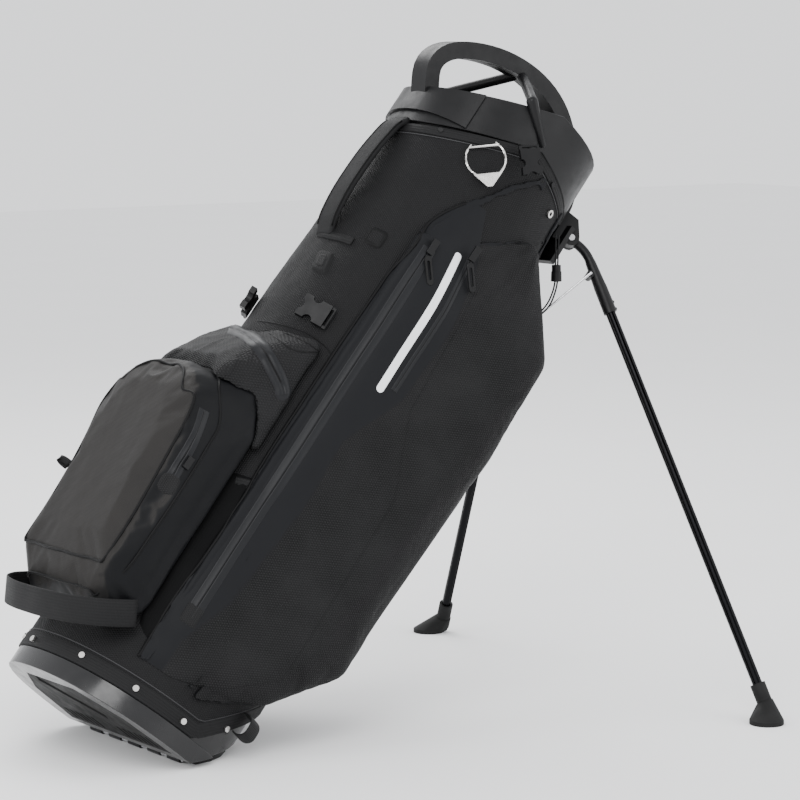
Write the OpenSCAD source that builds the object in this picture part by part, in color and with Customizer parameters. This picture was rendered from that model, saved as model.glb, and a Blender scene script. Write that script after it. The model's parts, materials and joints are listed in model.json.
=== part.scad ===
// Golf stand bag, leaning on its two opened legs.
// World frame: Z is up, X points from the base to the feet, -Y is the bag's right-hand side.
// The origin lies on the floor, in the middle of the heel plate's underside.
// Inside the module bag(), x is the distance from the bag's axis towards the legs,
// y is the distance to the left, and z runs along the axis from the base to the mouth.

/* [Stance] */
// Lean of the bag's axis from upright, in degrees
lean = 39.4; // [38.5:0.1:40.5]
// Swing of each opened leg away from the bag's axis, in degrees
leg_open = 52; // [50:0.5:54]
// Turn of each leg's swing plane towards its side, in degrees
leg_splay = 34; // [30:1:36]

/* [Tube of the bag] */
// Height along the axis at which the fabric starts
hem_low = 22; // [20:1:26]
// Height along the axis of the fabric's top edge, at the middle of the side
hem_high = 817; // [812:1:822]
// Thickness of the fabric wall with its foam
wall = 2.5; // [2:0.5:3]
// Height along the axis of the cuff's rim, at the middle of the side
rim_high = 870; // [862:1:876]
// Depth of the cuff's skirt inside the fabric, below the rim
skirt = 170; // [150:5:180]

/* [Legs] */
// Distance of the leg pins from the bag's axis
pin_x = 137; // [136:0.5:138]
// Distance of each leg pin from the mid-plane
pin_y = 47; // [45:1:49]
// Height of the leg pins along the axis
pin_z = 790; // [786:1:794]
// Diameter of the leg tube
leg_d = 12; // [10:0.5:13]
// Sideways step of the leg tube from its pin
leg_step = 13.5; // [12:0.5:15]
// Distance along the leg from its pin to the sole
leg_length = 617; // [600:1:625]
// Diameter of the leg pins
pin_d = 5; // [4:0.5:6]

/* [Base] */
// Distance of the heel hinge from the bag's axis
heel_x = 35; // [30:1:40]
// Distance from the heel hinge to the origin, the middle of the heel plate
heel_mid = 45; // [40:1:50]
// Thickness of the heel plate
heel_t = 6; // [5:0.5:7]
// Diameter of the rivets in the hem
rivet_d = 7; // [5:0.5:8]

/* [Top handle] */
// Width of the handle band
handle_w = 28; // [24:1:32]
// Thickness of the handle band
handle_t = 20; // [16:1:22]

/* [Hidden] */

gap = 0.3;
pin_clear = 0.05;
charcoal = [0.13, 0.13, 0.14];
near_black = [0.07, 0.07, 0.08];
moulded = [0.16, 0.16, 0.17];
nickel = [0.72, 0.72, 0.72];
steel = [0.6, 0.6, 0.62];
cuff_r = [119, 119, 103];
rivet_h = 1.6;

// Half-widths of the fabric tube [spine side, leg side, sides] at three heights
low_z = 18;
low_r = [137, 118, 134];
mid_z = 430;
mid_r = [130, 124, 118];
top_z = 790;
end_z = 900;
end_r = cuff_r + (cuff_r - mid_r) * (end_z - top_z) / (top_z - mid_z);

// --- Shared shapes -------------------------------------------------------------------

// Outline of the bag's cross-section: half an oval towards the spine, half towards the legs
function oval(r, grow = 0, power = 2.2, count = 44) = [
    for (i = [0 : count - 1])
        let (a = 360 * i / count, c = cos(a), s = sin(a))
        [
            sign(c) * ((c < 0 ? r[0] : r[1]) + grow) * pow(abs(c), 2 / power),
            sign(s) * (r[2] + grow) * pow(abs(s), 2 / power)
        ]
];

// Places its children in the frame of the leaning bag
module bag() {
    standing() rotate([0, lean, 0]) translate([-heel_x, 0, 0]) children();
}

// Places its children in an upright frame whose origin is on the floor below the heel hinge
module standing() {
    translate([-heel_mid, 0, 0]) children();
}

// The same upright frame, for use inside bag()
module hinge_frame() {
    translate([heel_x, 0, 0]) rotate([0, -lean, 0]) children();
}

// Repeats its children on the right-hand side and mirrored on the left
module both_sides() {
    children();
    mirror([0, 1, 0]) children();
}

// A thin oval plate at one height
module oval_plate(z, r, grow) {
    translate([0, 0, z - 0.5]) linear_extrude(1) polygon(oval(r, grow));
}

// The tapering form of the fabric tube, larger by grow
module tube_form(grow) {
    hull() {
        oval_plate(low_z - 4, low_r, grow);
        oval_plate(mid_z, mid_r, grow);
        oval_plate(top_z, cuff_r, grow);
        oval_plate(end_z, end_r, grow);
    }
}

// Everything above a plane that slopes along x; rise is in millimetres of z per millimetre of x
module above(z, rise) {
    translate([0, 0, z]) rotate([0, -atan(rise), 0]) translate([-400, -400, 0]) cube([800, 800, 800]);
}

// Everything below the leaning bag's own floor plane, raised by lift
module under_floor(lift) {
    hinge_frame() translate([-500, -500, lift - 600]) cube([1000, 1000, 600]);
}

// A soft form through a list of balls [x, y, z, radius]
module pillow(balls, facets = 16) {
    hull() {
        for (b = balls) translate([b[0], b[1], b[2]]) sphere(r = b[3], $fn = facets);
    }
}

// Frame on the right-hand wall: -y points outwards, turned by yaw; roll turns about the outward line
module on_wall(x, y, z, yaw, roll = 0) {
    translate([x, y, z]) rotate([0, 0, yaw]) rotate([0, roll, 0]) children();
}

// A flat bar with rounded ends, in the x-z plane, its thickness along y
module round_bar(length, width, thick) {
    rotate([90, 0, 0]) translate([0, 0, -thick / 2]) linear_extrude(thick) {
        translate([0, length / 2 - width / 2]) circle(d = width, $fn = 32);
        translate([0, width / 2 - length / 2]) circle(d = width, $fn = 32);
        translate([-width / 2, width / 2 - length / 2]) square([width, length - width]);
    }
}

// Points of a smooth curve through the given points, four steps to each stretch
function smooth(p) = [
    for (i = [0 : len(p) - 2], k = [0 : 3])
        let (
            t = k / 4,
            a = p[max(i - 1, 0)], b = p[i], c = p[i + 1], d = p[min(i + 2, len(p) - 1)]
        )
        0.5 * (2 * b + (c - a) * t + (2 * a - 5 * b + 4 * c - d) * t * t
            + (3 * b - a - 3 * c + d) * t * t * t),
    p[len(p) - 1]
];

// Unit normal of a flat curve at point i
function side_of(p, i) =
    let (d = p[min(i + 1, len(p) - 1)] - p[max(i - 1, 0)])
    [-d[1], d[0]] / norm(d);

// Outline of a band of the given thickness along a flat curve
function band(p, thick) = concat(
    [for (i = [0 : len(p) - 1]) p[i] + side_of(p, i) * thick / 2],
    [for (i = [len(p) - 1 : -1 : 0]) p[i] - side_of(p, i) * thick / 2]
);

// --- Base ---------------------------------------------------------------------------

tray_r = [136, 118, 134];
tray_inner = 3.5;

module tray_outer() {
    linear_extrude(hem_low - gap) polygon(oval(tray_r));
    linear_extrude(62) polygon(oval(tray_r, -wall - 3.6));
}

module rod_slot(width, length) {
    translate([rod_low_x, 0, -20]) linear_extrude(90) square([length, width], center = true);
}

module base_tray() color(moulded) bag() {
    difference() {
        union() {
            tray_outer();
            linear_extrude(95) intersection() {
                polygon(oval(tray_r, -wall - 3.6));
                translate([heel_x, -150]) square([150, 300]);
            }
        }
        difference() {
            translate([0, 0, 5]) linear_extrude(120) polygon(oval(tray_r, -tray_inner - 4));
            under_floor(15);
        }
        under_floor(heel_clear);
        rod_slot(14, 34);
        translate([0, 0, -1]) linear_extrude(4.4) polygon(tread_outline(0.4));
        hinge_bore();
    }
    difference() {
        hinge_frame() for (y = lug_places) translate([0, y - lug_w / 2, 0]) {
            translate([0, 0, heel_pin_z]) rotate([-90, 0, 0]) cylinder(d = heel_t, h = lug_w, $fn = 32);
            translate([-heel_t / 2, 0, heel_pin_z]) cube([heel_t, lug_w, heel_clear - heel_pin_z]);
        }
        hinge_bore();
    }
}

module hinge_bore() {
    hinge_frame() translate([0, -120, heel_pin_z]) rotate([-90, 0, 0])
        cylinder(d = heel_pin_d + 2 * pin_clear, h = 240, $fn = 24);
}

// The rubber tread fills a recess in the raised part of the base
function tread_outline(grow) = [
    [-104 - grow, -52 - grow], [-104 - grow, 52 + grow], [-58, 96 + grow], [10 + grow, 108 + grow],
    [10 + grow, -108 - grow], [-58, -96 - grow]
];

module base_tread() color(near_black) bag() {
    difference() {
        translate([0, 0, 0.2]) linear_extrude(3) polygon(tread_outline(0));
        translate([-70, 0, -1]) rotate(35) linear_extrude(3) square([16, 96], center = true);
        for (i = [0 : 5]) translate([-6, -88 + 12 * i, -1]) linear_extrude(2.6) square([22, 4], center = true);
        for (i = [0 : 5]) translate([-6, 28 + 12 * i, -1]) linear_extrude(2.6) square([22, 4], center = true);
    }
}

// Rivets around the lower hem: [x, y, z, direction about the axis]
base_rivet_places = [
    [-137.6, 22, 29, -90], [-124.5, -63, 33, -55], [-78, -116, 31, -26], [-17, -134.9, 31, -4],
    [40, -128, 55, 14], [-124.5, 63, 33, -125], [-78, 116, 31, -154], [-17, 134.9, 31, 184], [40, 128, 55, 166]
];

module base_rivets() color(nickel) bag() {
    difference() {
        for (r = base_rivet_places) translate([r[0], r[1], r[2]]) rotate([0, 0, r[3]])
            translate([0, 1.5, 0]) rotate([90, 0, 0]) cylinder(d = rivet_d, h = rivet_h + 2.5, $fn = 24);
        tube_form(0.1);
    }
}

heel_pin_d = 3.2;
heel_pin_z = heel_t / 2 + 0.3;
heel_clear = heel_t + 2.2;
plate_lip = 9;
lug_w = 26;
lug_places = [-42, 42];
knuckle_places = [-84, 0, 84];

// The heel plate lies flat on the floor
function heel_outline() = concat(
    [[plate_lip, -112], [plate_lip, 112]],
    [for (i = [1 : 11]) let (a = 90 - 15 * i) [plate_lip + 84 * cos(a), 112 * sin(a)]]
);

module heel_plate() color(moulded) standing() {
    difference() {
        union() {
            linear_extrude(heel_t) polygon(heel_outline());
            for (y = knuckle_places) translate([0, y - lug_w / 2, heel_pin_z]) rotate([-90, 0, 0])
                cylinder(d = heel_t, h = lug_w, $fn = 32);
            for (y = knuckle_places) translate([0, y - lug_w / 2, 0.3])
                cube([plate_lip + 1, lug_w, heel_t - 0.6]);
        }
        translate([0, -120, heel_pin_z]) rotate([-90, 0, 0])
            cylinder(d = heel_pin_d + 2 * pin_clear, h = 240, $fn = 24);
    }
}

module heel_pin() color(steel) standing() {
    translate([0, -100, heel_pin_z]) rotate([-90, 0, 0]) cylinder(d = heel_pin_d, h = 200, $fn = 24);
}

// --- Fabric tube ---------------------------------------------------------------------

module hem_cut() {
    above(hem_high, 0.42);
    above(hem_high, -0.22);
}

module rim_cut(lower = 0) {
    above(rim_high - lower, 0.45);
    translate([0, -400, rim_high - lower]) cube([400, 800, 400]);
}

slot_low_z = 505;
slot_high_z = 600;

module body_shell() color(charcoal) bag() {
    difference() {
        tube_form(0);
        tube_form(-wall);
        translate([0, 0, hem_low - 100]) linear_extrude(100) square(400, center = true);
        under_floor(36);
        hem_cut();
        translate([100, -8, slot_low_z]) cube([40, 16, slot_high_z - slot_low_z]);
    }
}

// --- Cuff ------------------------------------------------------------------------------

module cuff_ring() color(moulded) bag() {
    difference() {
        union() {
            translate([0, 0, rim_high - skirt]) linear_extrude(220) polygon(oval(cuff_r, -wall - 2));
            intersection() {
                translate([0, 0, 740]) linear_extrude(200) polygon(oval(cuff_r, 1.6));
                translate([0, 0, gap + 0.2]) hem_cut();
            }
        }
        translate([0, 0, 600]) linear_extrude(400) polygon(oval(cuff_r, -7.5));
        rim_cut();
    }
}

cuff_rivet_places = [
    [-119.6, 0, 761, -90], [-103, -58, 767, -47], [-6, -103.4, 806, -2], [38, -99.5, 800, 12],
    [-103, 58, 767, -133], [-6, 103.4, 806, 182], [38, 99.5, 800, 168]
];

module cuff_rivets() color(moulded) bag() {
    difference() {
        for (r = cuff_rivet_places) translate([r[0], r[1], r[2]]) rotate([0, 0, r[3]])
            translate([0, 1.5, 0]) rotate([90, 0, 0]) cylinder(d = rivet_d - 1, h = rivet_h + 2.5, $fn = 24);
        tube_form(0.1);
    }
}

eyelet_place = [62, -93, 775];

module cuff_eyelets() color(nickel) bag() {
    both_sides() difference() {
        translate(eyelet_place) rotate([0, 0, 22]) translate([0, 3, 0]) rotate([90, 0, 0])
            difference() {
                cylinder(d = 10, h = 4.6, $fn = 32);
                translate([0, 0, -1]) cylinder(d = 5, h = 8, $fn = 32);
            }
        tube_form(0.1);
    }
}

divider_t = 3;
divider_depth = 90;
divider_x = 36;

// Two cross bars and a rib between them part the mouth into four wells
module top_dividers() color(near_black) bag() {
    difference() {
        intersection() {
            translate([0, 0, rim_high - divider_depth]) linear_extrude(200) polygon(oval(cuff_r, -7.8));
            translate([0, 0, rim_high - divider_depth]) union() {
                for (x = [-divider_x, divider_x]) translate([x - divider_t / 2, -150, 0])
                    cube([divider_t, 300, 200]);
                translate([-divider_x, -divider_t / 2, 0]) cube([2 * divider_x, divider_t, 200]);
            }
        }
        rim_cut(6);
    }
}

stay_d = 6;

module stay_rods() color(near_black) bag() {
    both_sides() translate([-30, -93, 66]) cylinder(d = stay_d, h = 600, $fn = 24);
}

// --- Top handle and leg bracket ---------------------------------------------------------

handle_path = smooth([
    [-112, 808], [-131, 838], [-125, 864], [-97, 889], [-54, 911], [-8, 922],
    [34, 920], [70, 905], [102, 877], [124, 845], [131, 806]
]);

// Wall of the cuff with a little room around it
module cuff_keep_out() {
    difference() {
        translate([0, 0, 690]) linear_extrude(300) polygon(oval(cuff_r, 1.8));
        rim_cut(-gap);
    }
}

module yoke_arm() {
    hull() {
        translate([-20, -8, 913]) sphere(r = 6, $fn = 16);
        translate([-47, -98, 858]) sphere(r = 6, $fn = 16);
    }
    hull() {
        translate([-47, -101, 855]) sphere(r = 7, $fn = 16);
        translate([-6, -106, 824]) sphere(r = 3.5, $fn = 16);
    }
}

module top_handle() color(moulded) bag() {
    difference() {
        union() {
            rotate([90, 0, 0]) translate([0, 0, -handle_w / 2]) linear_extrude(handle_w)
                polygon(band(handle_path, handle_t));
            both_sides() yoke_arm();
            difference() {
                translate([0, 0, 740]) linear_extrude(160) polygon(oval(cuff_r, 5));
                rim_cut(-gap);
                translate([-90, -300, 700]) cube([400, 600, 300]);
                translate([-200, -300, 700]) cube([200, 600, 82]);
            }
        }
        cuff_keep_out();
        translate([0, 0, 600]) linear_extrude(200) polygon(oval(cuff_r, 1.8));
    }
}

ear_t = 4;
eye_w = 12;
ear_r = 9.5;
bracket_back = cuff_r[1] + 2.2;

// Frame of a leg: origin at the pin, x outwards in the swing plane, y along the pin, -z down the tube
module leg_frame(side, swing) {
    translate([pin_x, side * pin_y, pin_z]) rotate([0, 0, side * leg_splay]) rotate([0, -swing, 0])
        children();
}

module ear(side) {
    leg_frame(side, 0) for (k = [-1, 1])
        translate([0, k * (eye_w / 2 + 0.4 + ear_t / 2), 0]) rotate([90, 0, 0])
            translate([0, 0, -ear_t / 2]) linear_extrude(ear_t) {
                circle(r = ear_r, $fn = 40);
                polygon([[-20, 26], [-4, 24], [8, 6], [6, -8], [-4, -9], [-20, -12]]);
            }
}

module leg_bracket() color(moulded) bag() {
    difference() {
        union() {
            translate([bracket_back, -58, 748]) cube([7, 116, 52]);
            ear(-1);
            ear(1);
            translate([bracket_back, -6, 742]) cube([16, 12, 30]);
        }
        for (side = [-1, 1]) leg_frame(side, 0) {
            translate([0, 30, 0]) rotate([90, 0, 0]) cylinder(d = pin_d + 2 * pin_clear, h = 60, $fn = 32);
            translate([0, eye_w / 2 + 0.4, 0]) rotate([90, 0, 0])
                cylinder(r = 15, h = eye_w + 0.8, $fn = 40);
            for (k = [-1, 1]) translate([0, k * 12.6 + 2, 0]) rotate([90, 0, 0])
                cylinder(r = 5, h = 4, $fn = 32);
        }
        translate([0, 0, 600]) linear_extrude(300) polygon(oval(cuff_r, 2));
    }
}

module leg_pins() color(steel) bag() {
    for (side = [-1, 1]) leg_frame(side, 0) {
        translate([0, 12, 0]) rotate([90, 0, 0]) cylinder(d = pin_d, h = 24, $fn = 32);
        for (k = [-1, 1]) translate([0, k * 11.6 + 0.8, 0]) rotate([90, 0, 0])
            cylinder(d = pin_d + 3, h = 1.6, $fn = 32);
    }
}

// --- Legs -------------------------------------------------------------------------------

elbow_bend = 45;
elbow_r = leg_step / (1 - cos(elbow_bend));
elbow_bar = 5.6;
sleeve_r = 8;
sleeve_end = 100;
boss_x = 6;
boss_z = -48.6;

module leg_elbow(side) color(moulded) bag() leg_frame(side, leg_open) {
    difference() {
        union() {
            rotate([90, 0, 0]) translate([0, 0, -eye_w / 2]) cylinder(r = 9, h = eye_w, $fn = 40);
            translate([leg_step - elbow_r, 0, -elbow_r * sin(elbow_bend)]) rotate([-90, 0, 0])
                rotate([0, 0, -elbow_bend]) rotate_extrude(angle = elbow_bend, $fn = 64)
                    translate([elbow_r, 0]) circle(r = elbow_bar, $fn = 32);
            translate([leg_step, 0, -sleeve_end]) cylinder(r = sleeve_r, h = sleeve_end - 66, $fn = 40);
            translate([leg_step, 0, -70]) cylinder(r1 = sleeve_r - 0.2, r2 = elbow_bar + 0.5, h = 38, $fn = 40);
            translate([boss_x, 8.5, boss_z]) rotate([90, 0, 0]) cylinder(r = 4.5, h = 17, $fn = 32);
            for (z = [-88, -97]) translate([leg_step + sleeve_r - 0.6, 0, z]) sphere(r = 2.4, $fn = 24);
        }
        translate([0, eye_w, 0]) rotate([90, 0, 0]) cylinder(d = pin_d + 4 * pin_clear, h = 2 * eye_w, $fn = 32);
        translate([boss_x, 10, boss_z]) rotate([90, 0, 0]) cylinder(r = 1.8, h = 20, $fn = 24);
        translate([leg_step, 0, -sleeve_end - 1]) cylinder(d = leg_d + 0.04, h = 31, $fn = 40);
    }
}

foot_z = leg_length - 14;

module leg_tube(side) color(near_black) bag() leg_frame(side, leg_open) {
    translate([leg_step, 0, -foot_z]) difference() {
        cylinder(d = leg_d, h = foot_z - 71, $fn = 40);
        translate([0, 0, -1]) cylinder(d = leg_d - 2, h = foot_z - 60, $fn = 40);
    }
}

// The sole lies flat on the floor when the leg is open
sole_x = 648;
sole_y = 330;

module leg_foot(side) color(near_black) {
    difference() {
        union() {
            bag() leg_frame(side, leg_open) translate([leg_step, 0, -leg_length + 6])
                cylinder(r = 9, h = 40, $fn = 32);
            hull() {
                bag() leg_frame(side, leg_open) translate([leg_step, 0, -leg_length + 10])
                    cylinder(r = 10, h = 14, $fn = 24);
                standing() translate([sole_x, side * sole_y, 0]) cylinder(r = 20, h = 5, $fn = 32);
            }
        }
        bag() leg_frame(side, leg_open) translate([leg_step, 0, -foot_z])
            cylinder(d = leg_d + 0.04, h = 60, $fn = 40);
        translate([400, -500, -50]) cube([500, 1000, 50]);
    }
}

// --- Leg actuator -------------------------------------------------------------------------

rod_d = 4.5;
rod_top_z = 572;
rod_x = 110;
rod_arm = 46;
rod_low_x = heel_x + rod_arm * cos(lean);
rod_ball_d = 8;
link_x = 129;
link_y = 9;
link_d = 3;

// A steel rod runs inside the tube, from just above the heel plate to a yoke outside the leg-side wall
module actuator_rod() color(steel) bag() {
    low_z = (heel_t + rod_ball_d / 2 + 0.5 + rod_arm * cos(lean) * sin(lean)) / cos(lean);
    crank_z = low_z + 64;
    guide_z = crank_z + 90;
    crank = [rod_x - rod_low_x, 0, guide_z - crank_z];
    translate([rod_low_x, 0, low_z]) sphere(d = rod_ball_d, $fn = 40);
    translate([rod_low_x, 0, low_z]) cylinder(d = rod_d, h = crank_z - low_z, $fn = 32);
    translate([rod_low_x, 0, crank_z]) sphere(d = rod_d + 1, $fn = 40);
    translate([rod_low_x, 0, crank_z]) rotate([0, atan2(crank[0], crank[2]), 0])
        cylinder(d = rod_d, h = norm(crank), $fn = 32);
    translate([rod_x, 0, guide_z]) sphere(d = rod_d + 1, $fn = 40);
    translate([rod_x, 0, guide_z]) cylinder(d = rod_d, h = rod_top_z - guide_z, $fn = 32);
    translate([rod_x - 3, -4, rod_top_z - 6]) cube([link_x - rod_x + 6, 8, 12]);
    translate([link_x - 5, -13, rod_top_z - 6]) cube([8, 26, 12]);
}

// A sleeve on the inner wall guides the rod
module actuator_guide() color(moulded) bag() {
    for (z = [300, 440]) translate([rod_x, 0, z]) difference() {
        cylinder(d = rod_d + 7, h = 30, $fn = 32);
        translate([0, 0, -1]) cylinder(d = rod_d + 0.6, h = 32, $fn = 32);
    }
}

function rot_y(v, a) = [v[0] * cos(a) + v[2] * sin(a), v[1], -v[0] * sin(a) + v[2] * cos(a)];
function rot_z(v, a) = [v[0] * cos(a) - v[1] * sin(a), v[0] * sin(a) + v[1] * cos(a), v[2]];
function leg_point(side, v, swing) = [pin_x, side * pin_y, pin_z] + rot_z(rot_y(v, -swing), side * leg_splay);

// A wire from the leg's boss down to the yoke; its yoke end stays free
module actuator_link(side) color(steel) bag() {
    boss = leg_point(side, [boss_x, side * 11, boss_z], leg_open);
    yoke = [link_x + 4.5, side * (link_y + 10), rod_top_z + 12];
    run = yoke - boss;
    translate(boss) rotate([0, acos(run[2] / norm(run)), atan2(run[1], run[0])])
        cylinder(d = link_d, h = norm(run), $fn = 24);
    translate(boss) sphere(d = link_d + 0.8, $fn = 24);
    leg_frame(side, leg_open) translate([boss_x, side * 11, boss_z]) rotate([side * 90, 0, 0])
        cylinder(d = link_d, h = 20, $fn = 24);
}

// --- Pockets -------------------------------------------------------------------------------

apparel_balls = [
    [-84, -102, 66, 8], [-30, -122, 50, 8], [50, -136, 110, 18], [106, -134, 186, 24],
    [112, -140, 480, 28], [108, -138, 600, 28], [-70, -98, 640, 8], [60, -100, 715, 14],
    [118, -72, 190, 8], [118, -72, 640, 8]
];
apparel_flap = [
    [-64, -98, 660, 5], [-44, -100, 708, 4], [-10, -102, 760, 4], [24, -100, 796, 4],
    [84, -74, 792, 4], [110, -62, 640, 6]
];

function grown(balls, grow) = [for (b = balls) [b[0], b[1], b[2], b[3] + grow]];

module apparel_form(grow = 0) {
    pillow(grown(apparel_balls, grow));
    pillow(grown(apparel_flap, grow), 12);
}

module apparel_pocket() {
    difference() {
        apparel_form();
        tube_form(gap);
    }
}

// A thin skin on the apparel pocket, where its children reach
module on_pocket(thick) {
    difference() {
        intersection() {
            apparel_form(thick);
            children();
        }
        apparel_form(0.05);
        tube_form(gap);
    }
}

// A straight strip on the pocket's outer face, from one [x, z] to another
module strip(from, to, width) {
    rotate([90, 0, 0]) linear_extrude(220) polygon(band([from, to], width));
}

module apparel_pocket_right() color(charcoal) bag() apparel_pocket();
module apparel_pocket_left() color(charcoal) bag() mirror([0, 1, 0]) apparel_pocket();

ball_balls = [
    [-172, -84, 129, 12], [-182, -84, 240, 12], [-187, -84, 296, 12], [-190, -74, 328, 12],
    [-192, -54, 349, 12], [-193, -26, 358, 12], [-158, -66, 102, 12], [-128, -80, 84, 12],
    [-116, -94, 110, 8], [-116, -92, 330, 8], [-130, -76, 372, 10]
];

module ball_form(grow = 0) {
    hull() both_sides() {
        for (b = ball_balls) translate([b[0], b[1], b[2]]) sphere(r = b[3] + grow, $fn = 16);
    }
}

module ball_pocket() color(charcoal) bag() {
    difference() {
        ball_form();
        tube_form(gap);
    }
}

shoulder_balls = [
    [-178, -62, 330, 10], [-168, -60, 378, 10], [-140, -62, 424, 10], [-122, -42, 456, 8],
    [-106, -86, 460, 8], [-108, -93, 330, 8]
];

module shoulder_form(grow = 0) {
    hull() both_sides() {
        for (b = shoulder_balls) translate([b[0], b[1], b[2]]) sphere(r = b[3] + grow, $fn = 16);
    }
}

module shoulder_pocket() color(charcoal) bag() {
    difference() {
        shoulder_form();
        tube_form(gap);
        ball_form(1.2);
    }
}

// Thin panels on the tube between the ball pocket and the apparel pockets
module stretch_zone() {
    rotate([90, 0, 0]) linear_extrude(200) polygon([[-104, 86], [-87, 74], [-85, 293], [-112, 282]]);
}

module stretch_pockets() color(near_black) bag() {
    both_sides() difference() {
        intersection() {
            tube_form(6);
            stretch_zone();
        }
        tube_form(gap);
        ball_form(gap);
        apparel_form(skin + gap);
    }
}

module stretch_bindings() color(charcoal) bag() {
    both_sides() difference() {
        intersection() {
            tube_form(7);
            rotate([90, 0, 0]) linear_extrude(200) polygon([[-113, 284.5], [-85, 295.5], [-85, 308], [-114, 297]]);
        }
        tube_form(gap);
        ball_form(gap);
        apparel_form(skin + gap);
    }
}

hip_pad_t = 11;

module hip_pad() color(charcoal) bag() {
    translate([mid_r[1] + 0.6, 0, 365]) rotate([0, 90, 0]) linear_extrude(hip_pad_t) hull() {
        for (a = [-1, 1], b = [-1, 1]) translate([a * 112, b * 26]) circle(r = 12, $fn = 32);
    }
}

// --- Webbing and handles ---------------------------------------------------------------------

// Half of the loop's course, seen in its own tilted plane, [out, side]
loop_half = [[10, -105], [-4, -104.5], [-30, -97], [-52, -72], [-63, -36], [-65, 0]];
loop_course = concat(loop_half, [for (i = [len(loop_half) - 2 : -1 : 0]) [loop_half[i][0], -loop_half[i][1]]]);

module lower_carry_loop() color(near_black) bag() {
    difference() {
        translate([-130, 0, 92]) rotate([0, -33, 0]) translate([0, 0, -15]) linear_extrude(30)
            polygon(band(smooth(loop_course), 2.2));
        ball_form(0.05);
        tube_form(gap);
    }
}

// A folded tab of webbing hangs from the hem on the right-hand leg side
module base_pull_loop() color(near_black) bag() {
    translate([60, -121.6, 56]) rotate([0, 0, 26]) difference() {
        translate([-13, -16, 0]) cube([26, 17, 26]);
        translate([-20, -14, 2]) cube([40, 13, 22]);
    }
}

module spine_handle() color(charcoal) bag() {
    difference() {
        rotate([90, 0, 0]) translate([0, 0, -15]) linear_extrude(30)
            polygon(band(smooth([[-126, 604], [-131, 616], [-135, 660], [-134, 706], [-129, 738], [-123, 748]]), 7));
        tube_form(gap);
    }
}

module spine_patches() color(near_black) bag() {
    difference() {
        union() {
            translate([-122, -29, 562]) rotate([0, 0, -72]) cube([30, 6, 32], center = true);
            translate([-103, -67, 613]) rotate([0, 0, -44]) cube([24, 7, 24], center = true);
        }
        tube_form(gap);
    }
}

towel_yaw = -36;
towel_place = [-72, -87.5, 786];

module towel_tab() color(near_black) bag() {
    on_wall(towel_place[0], towel_place[1], towel_place[2], towel_yaw, -lean) difference() {
        translate([-13, -5.6, -18]) cube([26, 5, 26]);
        translate([-20, -3.6, -15]) rotate([0, 90, 0]) cylinder(r = 1.45, h = 40, $fn = 24);
    }
}

ring_r = 25;
ring_wire = 2.6;
ring_bar_z = -15;

module towel_ring() color(nickel) bag() {
    on_wall(towel_place[0], towel_place[1], towel_place[2], towel_yaw, -lean) translate([0, -3.6, 0]) {
        translate([0, 0, ring_bar_z - 15]) rotate([90, 0, 0]) {
            rotate([0, 0, 128]) rotate_extrude(angle = 284, $fn = 64) translate([ring_r - 2, 0])
                circle(d = ring_wire, $fn = 12);
            translate([0, 0, -1.1]) linear_extrude(2.2) polygon([[-17, -18], [17, -18], [3, -34], [-3, -34]]);
        }
        translate([-17.5, 0, ring_bar_z]) rotate([0, 90, 0]) cylinder(d = ring_wire, h = 35, $fn = 12);
    }
}

strap_yaw = -27;
strap_place = [-62, -93.2, 842];

// Webbing hangs from the rim, and ends in the female half of a buckle
module cuff_strap() color(near_black) bag() {
    on_wall(strap_place[0], strap_place[1], strap_place[2], strap_yaw, -lean)
        translate([-2, -5.2, -52]) cube([20, 2, 44]);
}

module female_buckle(width, length) {
    difference() {
        translate([-width / 2, -4, -length]) cube([width, 7, length]);
        translate([0, -10, -length - 3]) rotate([-90, 0, 0]) cylinder(r = width / 4, h = 20, $fn = 24);
        for (k = [-1, 1]) translate([k * width / 2, -10, -length * 0.55]) rotate([-90, 0, 0])
            cylinder(r = width / 5, h = 20, $fn = 24);
    }
    translate([-width / 2, 0, 3.6]) rotate([0, 90, 0]) cylinder(r = 1.6, h = width, $fn = 20);
    for (k = [-1, 1]) translate([k * (width / 2 - 1.6) - 1.6, -1.6, -1]) cube([3.2, 3.2, 5.5]);
}

module cuff_buckle() color(moulded) bag() {
    on_wall(strap_place[0], strap_place[1], strap_place[2], strap_yaw, -lean)
        translate([8, -5.6, -58]) female_buckle(24, 30);
}

buckle_x = -103;
buckle_y = -75;
buckle_z = 499;
buckle_yaw = -46;

module strap_tabs() color(near_black) bag() {
    both_sides() difference() {
        on_wall(buckle_x, buckle_y, buckle_z, buckle_yaw, 90) translate([-12, -7, 5]) cube([24, 10, 24]);
        tube_form(gap);
        on_wall(buckle_x, buckle_y, buckle_z, buckle_yaw, 90) translate([-30, -5.4, 3.6])
            rotate([0, 90, 0]) cylinder(r = 2.2, h = 60, $fn = 20);
    }
}

module strap_buckle() {
    on_wall(buckle_x, buckle_y, buckle_z, buckle_yaw, 90) translate([0, -5.4, 0]) female_buckle(28, 34);
}

module strap_buckle_right() color(moulded) bag() strap_buckle();
module strap_buckle_left() color(moulded) bag() mirror([0, 1, 0]) strap_buckle();

// --- Zips ---------------------------------------------------------------------------------------

// The long zip runs beside the front seam of each apparel pocket, [x, z] at its two ends
zip_low = [-71, 136];
zip_high = [-62, 626];
zip_tape_w = 16;
stripe_low = [-29, 457];
stripe_high = [-28, 652];
stripe_w = 9;
valuables_low = [-15, 470];
valuables_high = [-13, 640];
skin = 0.6;

module long_zips() color(near_black) bag() both_sides() on_pocket(skin) strip(zip_low, zip_high, zip_tape_w);

module reflective_stripes() color("white") bag() both_sides()
    on_pocket(skin) strip(stripe_low, stripe_high, stripe_w);

module valuables_zips() color(near_black) bag() both_sides()
    on_pocket(skin) strip(valuables_low, valuables_high, 7);

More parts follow.
